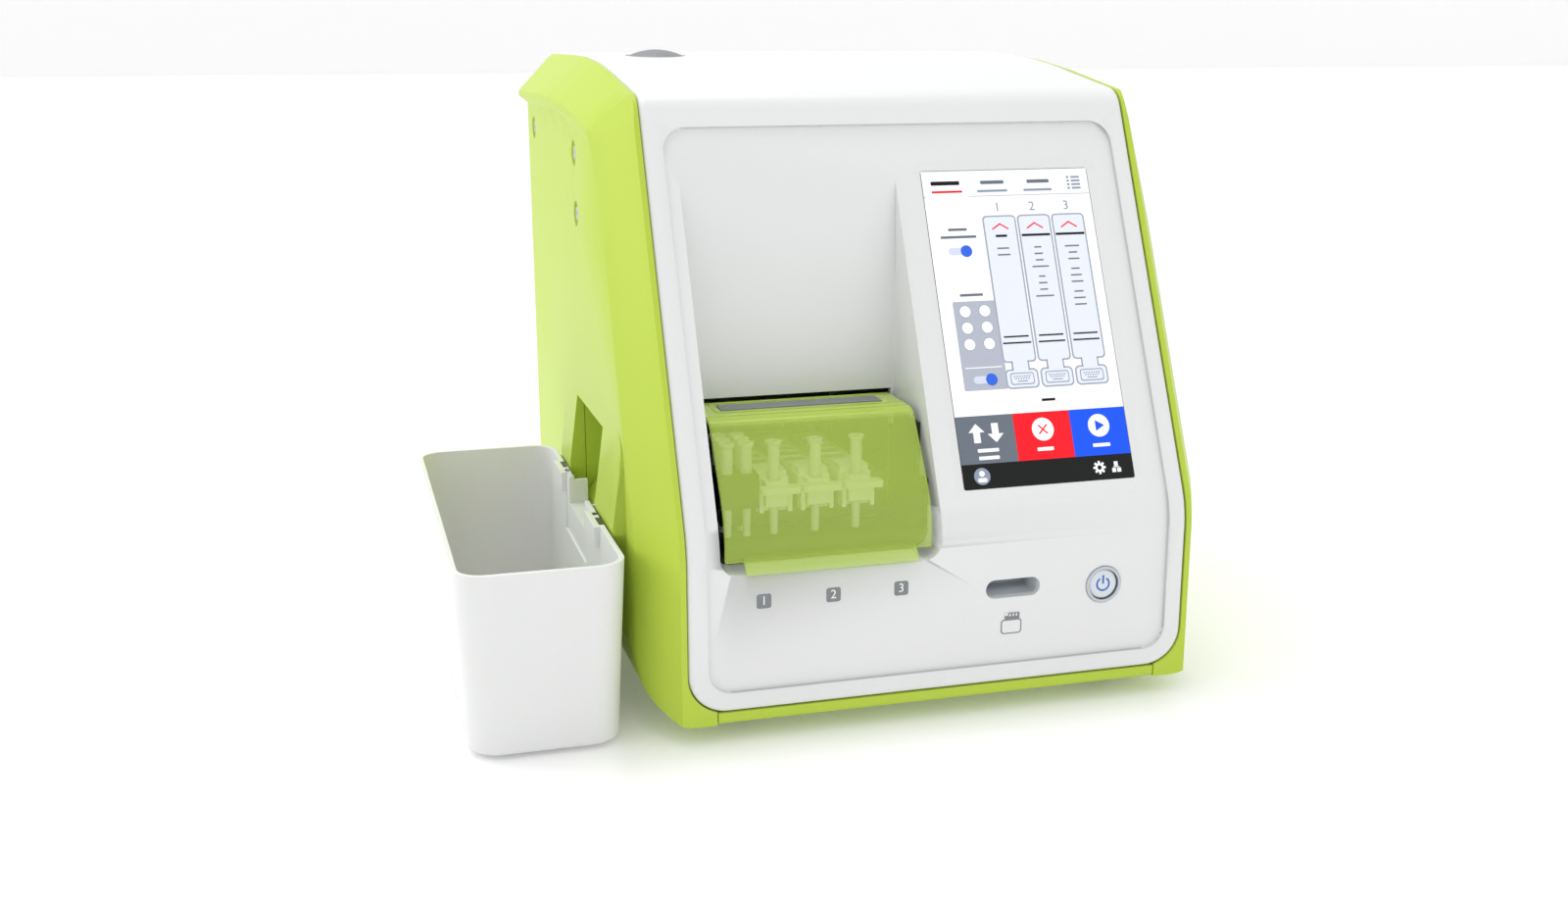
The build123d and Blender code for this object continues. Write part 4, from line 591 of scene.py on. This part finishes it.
def display_picture():
    """The lit picture: tabs, three lanes, tip places, three keys and the bottom bar."""
    c = bpy.context.scene.reader_colours
    white = lit("white", (0.985, 0.985, 0.985))
    pale = lit("pale", (0.82, 0.85, 0.92))
    lane = lit("lane", (0.89, 0.91, 0.95))
    outline = lit("outline", (0.62, 0.65, 0.71))
    tab = lit("tab", (0.95, 0.955, 0.965))
    tray = lit("tray", (0.69, 0.71, 0.765))
    grey_blue = lit("grey_blue", (0.55, 0.59, 0.66))
    slate = lit("slate", c.slate)
    red = lit("red", c.red)
    blue = lit("blue", c.blue)
    black = lit("black", (0.05, 0.055, 0.06), 0.02)
    icon = lit("icon", (0.95, 0.96, 0.97))
    toggle = lit("toggle", (0.2, 0.4, 0.88))

    def place(x, y):
        return on_tilted_face(
            SCREEN_MIDDLE[0] - SCREEN_WIDTH / 2 + x, SCREEN_MIDDLE[1] - SCREEN_HEIGHT / 2 + y, SCREEN_DEPTH
        )

    normal = Vector((0, -cos(TILT), sin(TILT)))
    art = Picture(place, normal, bpy.context.scene.reader_sizes.layer)
    w, h = SCREEN_WIDTH, SCREEN_HEIGHT

    def u(value):
        return value * w

    def v(value):
        return (1 - value) * h

    def area(u0, v0, u1, v1, finish, layer, corner=0.0):
        art.block(u(u0), v(v1), u(u1), v(v0), finish, layer, corner)

    area(0, 0, 1, 1, white, 1)
    # tab row
    area(0.0, 0.0, 1.0, 0.083, tab, 2)
    for edge in (0.27, 0.54, 0.81):
        area(edge - 0.003, 0.008, edge + 0.003, 0.076, white, 3)
    area(0.015, 0.006, 0.262, 0.083, white, 3)
    area(0.05, 0.064, 0.23, 0.071, red, 4)
    area(0.32, 0.064, 0.5, 0.071, grey_blue, 4)
    area(0.6, 0.064, 0.77, 0.071, grey_blue, 4)
    area(0.05, 0.033, 0.22, 0.046, black, 4, 0.5)
    area(0.345, 0.034, 0.485, 0.045, slate, 4, 0.5)
    area(0.625, 0.034, 0.76, 0.045, slate, 4, 0.5)
    area(0.0, 0.083, 1.0, 0.0845, outline, 4)
    area(0.015, 0.0825, 0.262, 0.085, white, 5)
    for i in range(4):
        area(0.87, 0.026 + 0.012 * i, 0.885, 0.032 + 0.012 * i, grey_blue, 4)
        area(0.897, 0.026 + 0.012 * i, 0.95, 0.032 + 0.012 * i, grey_blue, 4)
    finish_of = {"black": black, "grey": slate}
    # three lanes
    lanes = ((0.325, 0.525), (0.533, 0.733), (0.741, 0.941))
    for number, (left, right) in enumerate(lanes, start=1):
        middle = (left + right) / 2
        art.numeral(str(number), u(middle), v(0.122), 4.6, grey_blue, 3)
        area(left, 0.148, right, 0.62, outline, 3, 2.2)
        area(left + 0.009, 0.153, right - 0.009, 0.615, lane, 4, 1.6)
        art.band([(u(middle - 0.045), v(0.192)), (u(middle), v(0.176)), (u(middle + 0.045), v(0.192))], 0.7, red, 5)
        area(middle - 0.053, 0.617, middle + 0.053, 0.645, outline, 3)
        area(middle - 0.044, 0.612, middle + 0.044, 0.648, lane, 5)
        area(left + 0.002, 0.64, right - 0.002, 0.702, outline, 3, 2.4)
        area(left + 0.011, 0.645, right - 0.011, 0.697, lane, 4, 1.8)
        # well picture inside the block: a frame, two rows of dots and a line
        area(left + 0.03, 0.6525, right - 0.03, 0.6895, grey_blue, 6, 1.2)
        area(left + 0.035, 0.6555, right - 0.035, 0.6865, lane, 7, 1.0)
        for row, count in ((0.6635, 7), (0.6705, 6)):
            for i in range(count):
                x = u(middle) + 1.3 * (i - (count - 1) / 2)
                art.block(x - 0.33, v(row) - 0.33, x + 0.33, v(row) + 0.33, grey_blue, 8)
        area(middle - 0.03, 0.6775, middle + 0.03, 0.6805, grey_blue, 8)
        # short bars down the lane
        for row, half, tall, finish in LANE_BARS[number - 1]:
            area(middle - half, row - tall / 2, middle + half, row + tall / 2, finish_of[finish], 6, 0.25)
    # left column: switch above, grey panel with six round places and a second switch
    for v_mid, middle in ((0.26, 0.17), (0.668, 0.21)):
        area(middle - 0.07, v_mid - 0.012, middle + 0.04, v_mid + 0.012, pale, 5, 1.8)
        art.disc(u(middle + 0.035), v(v_mid), 2.9, toggle, 6)
    area(0.115, 0.186, 0.225, 0.194, slate, 3, 0.3)
    area(0.065, 0.21, 0.275, 0.218, slate, 3, 0.3)
    area(0.13, 0.396, 0.265, 0.404, slate, 3, 0.3)
    area(0.52, 0.737, 0.6, 0.745, black, 3, 0.3)
    area(0.08, 0.42, 0.335, 0.7, tray, 2, 0.8)
    for i in range(2):
        for j in range(3):
            art.disc(u(0.147 + 0.115 * i), v(0.452 + 0.052 * j), 3.1, outline, 3)
            art.disc(u(0.147 + 0.115 * i), v(0.452 + 0.052 * j), 2.75, white, 4)
    area(0.1, 0.628, 0.315, 0.631, white, 3)
    # keys
    for i, finish in enumerate((slate, red, blue)):
        area(i / 3, 0.778, (i + 1) / 3, 0.925, finish, 3)
        middle = (i + 0.5) / 3
        if i == 0:
            for side, up in ((-1, 1), (1, -1)):
                x = u(middle) + 4.7 * side
                tip = v(0.832) + 4.7 * up
                art.block(x - 1.7, tip - 9.2 * up, x + 1.7, tip - 3.9 * up, icon, 4)
                art.polygon([(x - 4.0, tip - 4.2 * up), (x + 4.0, tip - 4.2 * up), (x, tip)], icon, 5)
        else:
            art.disc(u(middle), v(0.832), 5.5, icon, 4, 48)
            if i == 1:
                for turn in (1, -1):
                    art.band(
                        [(u(middle) - 1.9, v(0.832) - 1.9 * turn), (u(middle) + 1.9, v(0.832) + 1.9 * turn)],
                        0.7, finish, 6 if turn > 0 else 5,
                    )
            else:
                x, y = u(middle), v(0.832)
                art.polygon([(x - 1.7, y - 2.6), (x + 2.8, y), (x - 1.7, y + 2.6)], finish, 5)
        for row, half in KEY_BARS[i]:
            area(middle - half, row - 0.0055, middle + half, row + 0.0055, icon, 4, 0.4)
    # bottom bar: user, cog and network marks
    area(0, 0.925, 1, 1, black, 3)
    art.disc(u(0.11), v(0.963), 4.0, grey_blue, 4)
    art.disc(u(0.11), v(0.955), 1.4, icon, 5)
    art.block(u(0.11) - 2.3, v(0.981), u(0.11) + 2.3, v(0.968), icon, 5, 0.9)
    for i in range(8):
        a = radians(45 * i)
        x, y = u(0.8), v(0.963)
        art.band([(x + 1.6 * cos(a), y + 1.6 * sin(a)), (x + 2.6 * cos(a), y + 2.6 * sin(a))], 1.1, icon, 4)
    art.arc(u(0.8), v(0.963), 1.7, 1.1, 0, 360, icon, 5)
    for x, y in ((0.9, 0.954), (0.885, 0.974), (0.915, 0.974)):
        art.block(u(x) - 1.0, v(y) - 1.0, u(x) + 1.0, v(y) + 1.0, icon, 4)
    art.band([(u(0.9), v(0.954)), (u(0.9), v(0.964))], 0.5, icon, 4)
    art.band([(u(0.885), v(0.964)), (u(0.915), v(0.964))], 0.5, icon, 5)
    return art.done("display_picture", "housing")


# ---------------------------------------------------------------- marks on the front
FRONTWARDS = Vector((0, -1, 0))
LANE_NUMBERS = (-85.9, -53.5, -21.2)     # middles of the number plates, in mm
PLATE_HEIGHT = 64.8
CHIP_MARK = (33.5, 42.6)
POWER_MARK = (80.0, 57.3)


def front_plane(depth):
    """A placing of (across, up) points on the upright front, depth behind its rim."""

    def place(x, z):
        return at(x, KINK[0] + depth, z)

    return place


def front_marks(kit):
    """Number plates under the lanes, the outline mark under the chip slot and the power mark."""
    art = Picture(front_plane(FACE_SINK), FRONTWARDS, 0.00006)
    half = 3.4
    for number, x in enumerate(LANE_NUMBERS, start=1):
        art.block(x - half, PLATE_HEIGHT - half, x + half, PLATE_HEIGHT + half, kit["mark_grey"], 1, 1.2)
        art.numeral(str(number), x, PLATE_HEIGHT, 4.2, kit["mark_white"], 2)
    # a chip half way into its holder
    x, z = CHIP_MARK
    art.block(x - 5.2, z - 5.2, x + 5.2, z + 2.0, kit["mark_grey"], 1, 1.6)
    art.block(x - 4.6, z - 4.6, x + 4.6, z + 1.4, kit["white"], 2, 1.2)
    art.block(x - 3.4, z + 1.4, x + 4.0, z + 5.2, kit["mark_grey"], 3, 0.3)
    art.block(x - 3.4, z + 3.8, x - 1.8, z + 5.2, kit["white"], 4)
    for i in range(3):
        art.block(x - 1.1 + 1.6 * i, z + 3.4, x - 0.4 + 1.6 * i, z + 4.8, kit["white"], 4)
    art.done("front_marks", "housing")
    power = Picture(front_plane(BUTTON_SINK), FRONTWARDS, 0.00005)
    x, z = POWER_MARK
    stroke = 0.95
    power.arc(x, z, 3.1, stroke, 122, 418, kit["mark_blue"], 1, 36)
    power.band([(x, z + 0.6), (x, z + 3.9)], stroke, kit["mark_blue"], 2)
    power.done("power_mark", "button")


# ---------------------------------------------------------------- foil and thread
LANE_MIDDLES = (-72.5, -52.7, -32.9)     # mm
FIRST_WELL = (-112, 111.1)               # y and z of the foremost foil, mm
WELLS = 5
WELL_STEP = (0, 0.011, 0)
FOIL_SIZE = (0.0108, 0.0084, 0.0001)
THREAD_START = -0.0872
THREAD_LENGTH = 0.152
THREAD_RADIUS = 0.00285
THREAD_WIRE = 0.00015


# ---------------------------------------------------------------- operators
class READER_OT_covers(bpy.types.Operator):
    """Side covers, front panel, base, rear panel and feet"""

    bl_idname = "reader.covers"
    bl_label = "Covers and panels"
    bl_options = {"REGISTER", "UNDO"}

    def execute(self, context):
        kit = finishes()
        for node in ("right_cover", "left_cover"):
            soften(node, kit["lime"], 0.0, smooth=26.0)
        soften("front_panel", kit["white"], 0.0, smooth=19.0)
        soften("base_plate", kit["lime"])
        soften("rear_panel", kit["pale_grey"], 0.0002)
        soften("feet", kit["rubber"], 0.0004)
        return {"FINISHED"}


class READER_OT_cover_door(bpy.types.Operator):
    """Lift-up cover with its label strip, pins and the chamber behind it"""

    bl_idname = "reader.cover_door"
    bl_label = "Lift-up cover"
    bl_options = {"REGISTER", "UNDO"}

    def execute(self, context):
        kit = finishes()
        soften("door_cover", kit["clear_lime"], 0.0003, 24.0)
        soften("door_label", kit["grey"], 0.0001)
        soften("door_pins", kit["steel"], 0.0001)
        soften("chamber_liner", kit["black"], 0.0002)
        return {"FINISHED"}


class READER_OT_display(bpy.types.Operator):
    """Display glass, its picture and what holds it"""

    bl_idname = "reader.display"
    bl_label = "Display"
    bl_options = {"REGISTER", "UNDO"}

    def execute(self, context):
        kit = finishes()
        soften("screen_glass", kit["glass"], 0.0001)
        display_picture()
        paint_node("display_module", kit["dark"])
        paint_node("display_bracket", kit["sheet"])
        paint_node("display_board", kit["board"])
        paint_node("display_screws", kit["steel"])
        return {"FINISHED"}


class READER_OT_controls(bpy.types.Operator):
    """Power button, its ring and switch, the chip socket and the marks on the front"""

    bl_idname = "reader.controls"
    bl_label = "Front controls"
    bl_options = {"REGISTER", "UNDO"}

    def execute(self, context):
        kit = finishes()
        soften("button_ring", kit["ring"], 0.0002)
        soften("power_button", kit["button"], 0.0003)
        paint_node("button_switch", kit["dark"])
        soften("chip_socket", kit["pale_grey"], 0.0002)
        front_marks(kit)
        return {"FINISHED"}


class READER_OT_holder(bpy.types.Operator):
    """Cartridge holder with cartridges, tips, rails and its screw drive"""

    bl_idname = "reader.holder"
    bl_label = "Cartridge holder"
    bl_options = {"REGISTER", "UNDO"}

    def execute(self, context):
        kit = finishes()
        soften("holder_tray", kit["black"], 0.0002)
        for number in (1, 2, 3):
            soften(f"cartridge_{number}", kit["cartridge"], 0.0002)
        for node in ("cartridge_tips", "spare_tips"):
            soften(node, kit["tip"], 0.0)
        paint_node("holder_bushes", kit["dark"])
        paint_node("screw_nut", kit["brass"])
        for node in ("guide_rails", "lead_screw"):
            soften(node, kit["steel"], 0.0001)
        for node in ("rail_bracket_front", "rail_bracket_rear"):
            soften(node, kit["sheet"], 0.0002)
        soften("drive_motor", kit["dark"], 0.0003)
        for number, x in enumerate(LANE_MIDDLES, start=1):
            bar_row(f"foil_{number}", "holder", WELLS, at(x, *FIRST_WELL), WELL_STEP, FOIL_SIZE, kit["foil"])
        low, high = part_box("lead_screw")
        sizes = context.scene.reader_sizes
        middle = ((low.x + high.x) / 2, THREAD_START, (low.z + high.z) / 2)
        grown(
            "lead_screw_thread", thread_tree(),
            {
                "Turns": float(sizes.thread_turns), "Length": THREAD_LENGTH, "Radius": THREAD_RADIUS,
                "Wire": THREAD_WIRE, "Finish": kit["steel"],
            },
            "screw", Matrix.Translation(middle) @ Matrix.Rotation(-pi / 2, 4, "X"),
        )
        return {"FINISHED"}


class READER_OT_head(bpy.types.Operator):
    """Pipetting head, its frame, rods, actuator and the optics"""

    bl_idname = "reader.head"
    bl_label = "Pipetting head"
    bl_options = {"REGISTER", "UNDO"}

    def execute(self, context):
        kit = finishes()
        soften("head_gantry", kit["sheet"], 0.0002)
        soften("head_rods", kit["steel"], 0.0)
        for node in ("pipette_head", "head_actuator"):
            soften(node, kit["dark"], 0.0)
        soften("optics_head", kit["dark"], 0.0003)
        return {"FINISHED"}


class READER_OT_printer(bpy.types.Operator):
    """Printer lid with its latch, the bucket, the roller and the paper roll"""

    bl_idname = "reader.printer"
    bl_label = "Printer"
    bl_options = {"REGISTER", "UNDO"}

    def execute(self, context):
        kit = finishes()
        soften("printer_lid", kit["white"], 0.0002, 24.0)
        soften("lid_latch", kit["grey"], 0.0003, 20.0)
        soften("lid_pins", kit["steel"], 0.0)
        soften("printer_body", kit["dark"], 0.0003)
        soften("platen_roller", kit["rubber"], 0.0001)
        soften("paper_roll", kit["paper"], 0.0002)
        return {"FINISHED"}


class READER_OT_bin(bpy.types.Operator):
    """Hung waste bin with its magnets, the steel plates they hold to, and the chute it hangs in"""

    bl_idname = "reader.bin"
    bl_label = "Waste bin and chute"
    bl_options = {"REGISTER", "UNDO"}

    def execute(self, context):
        kit = finishes()
        soften("waste_bin", kit["bin_white"], 0.0003, 24.0)
        soften("bin_magnets", kit["magnet"], 0.0001)
        paint_node("keeper_plates", kit["steel"])
        soften("chute_liner", kit["lime"], 0.0003)
        return {"FINISHED"}


class READER_OT_fasteners(bpy.types.Operator):
    """Screws of the covers, the rear panel, the fan and the feet"""

    bl_idname = "reader.fasteners"
    bl_label = "Fasteners"
    bl_options = {"REGISTER", "UNDO"}

    def execute(self, context):
        kit = finishes()
        for node in ("side_screws", "rear_screws", "fan_screws", "foot_screws"):
            soften(node, kit["steel"], 0.00015)
        return {"FINISHED"}


class READER_OT_rear(bpy.types.Operator):
    """Fan, mains inlet, switch and data ports"""

    bl_idname = "reader.rear"
    bl_label = "Rear fittings"
    bl_options = {"REGISTER", "UNDO"}

    def execute(self, context):
        kit = finishes()
        for node in ("fan_frame", "fan_rotor", "power_inlet", "switch_housing", "rocker_switch", "port_block"):
            soften(node, kit["dark"], 0.0002)
        soften("main_board", kit["board"], 0.0001)
        soften("power_supply", kit["sheet"], 0.0003)
        return {"FINISHED"}


class READER_OT_studio(bpy.types.Operator):
    """Plain pale floor, soft lights and the camera at the photograph's angle"""

    bl_idname = "reader.studio"
    bl_label = "Studio"
    bl_options = {"REGISTER", "UNDO"}

    def execute(self, context):
        scene = context.scene
        studio = scene.reader_studio
        mesh = bpy.data.meshes.new("floor")
        corners = [(x * FLOOR_REACH, y * FLOOR_REACH) for x, y in ((-1, -1), (1, -1), (1, 1), (-1, 1))]
        walls = [(i, (i + 1) % 4, (i + 1) % 4 + 4, i + 4) for i in range(4)]
        mesh.from_pydata([(x, y, z) for z in (0, WALL_HEIGHT) for x, y in corners], [], [(0, 1, 2, 3), *walls])
        floor = bpy.data.objects.new("floor", mesh)
        scene.collection.objects.link(floor)
        mesh.materials.append(lit("floor", studio.floor, studio.glow))
        world = bpy.data.worlds.new("soft_world")
        world.use_nodes = True
        world.node_tree.nodes["Background"].inputs["Color"].default_value = (1.0, 1.0, 1.0, 1.0)
        world.node_tree.nodes["Background"].inputs["Strength"].default_value = studio.sky
        scene.world = world
        scene.view_settings.view_transform = "Standard"
        for name, place, size, power in (
            ("key", (-0.2, 0.35, 1.6), 1.2, studio.key_power),
            ("fill", (-1.5, 0.7, 0.7), 1.0, studio.fill_power),
            ("front", (0.9, -1.7, 0.7), 1.0, studio.front_power),
        ):
            light = bpy.data.lights.new(name, "AREA")
            light.energy = power
            light.size = size
            lamp = bpy.data.objects.new(name, light)
            scene.collection.objects.link(lamp)
            lamp.location = place
            lamp.rotation_euler = (LIGHT_TARGET - lamp.location).to_track_quat("-Z", "Y").to_euler()
        camera = bpy.data.cameras.new("camera")
        camera.lens = studio.lens
        camera.sensor_width = 36.0
        eye = bpy.data.objects.new("camera", camera)
        scene.collection.objects.link(eye)
        eye.location = CAMERA_PLACE
        eye.rotation_euler = Euler((pi / 2 - CAMERA_DOWN, CAMERA_ROLL, -CAMERA_TURN), "XYZ")
        scene.camera = eye
        return {"FINISHED"}


OPERATORS = (
    READER_OT_covers, READER_OT_cover_door, READER_OT_display, READER_OT_controls, READER_OT_holder, READER_OT_head,
    READER_OT_printer, READER_OT_bin, READER_OT_fasteners, READER_OT_rear, READER_OT_studio,
)


class READER_PT_panel(bpy.types.Panel):
    """Buttons for the pieces and the studio, with their colours and sizes"""

    bl_idname = "READER_PT_panel"
    bl_label = "Rapid test reader"
    bl_space_type = "VIEW_3D"
    bl_region_type = "UI"
    bl_category = "Reader"

    def draw(self, context):
        for operator in OPERATORS:
            self.layout.operator(operator.bl_idname)
        for group in (context.scene.reader_colours, context.scene.reader_sizes, context.scene.reader_studio):
            for name in group.__annotations__:
                self.layout.prop(group, name)


GROUPS = (("reader_colours", ReaderColours), ("reader_sizes", ReaderSizes), ("reader_studio", ReaderStudio))


def register():
    for name, group in GROUPS:
        bpy.utils.register_class(group)
        setattr(bpy.types.Scene, name, PointerProperty(type=group))
    for item in (*OPERATORS, READER_PT_panel):
        bpy.utils.register_class(item)


def unregister():
    for item in reversed((*OPERATORS, READER_PT_panel)):
        bpy.utils.unregister_class(item)
    for name, group in reversed(GROUPS):
        delattr(bpy.types.Scene, name)
        bpy.utils.unregister_class(group)


def main():
    register()
    for operator in OPERATORS:
        group, name = operator.bl_idname.split(".")
        getattr(getattr(bpy.ops, group), name)()


if __name__ == "__main__":
    main()
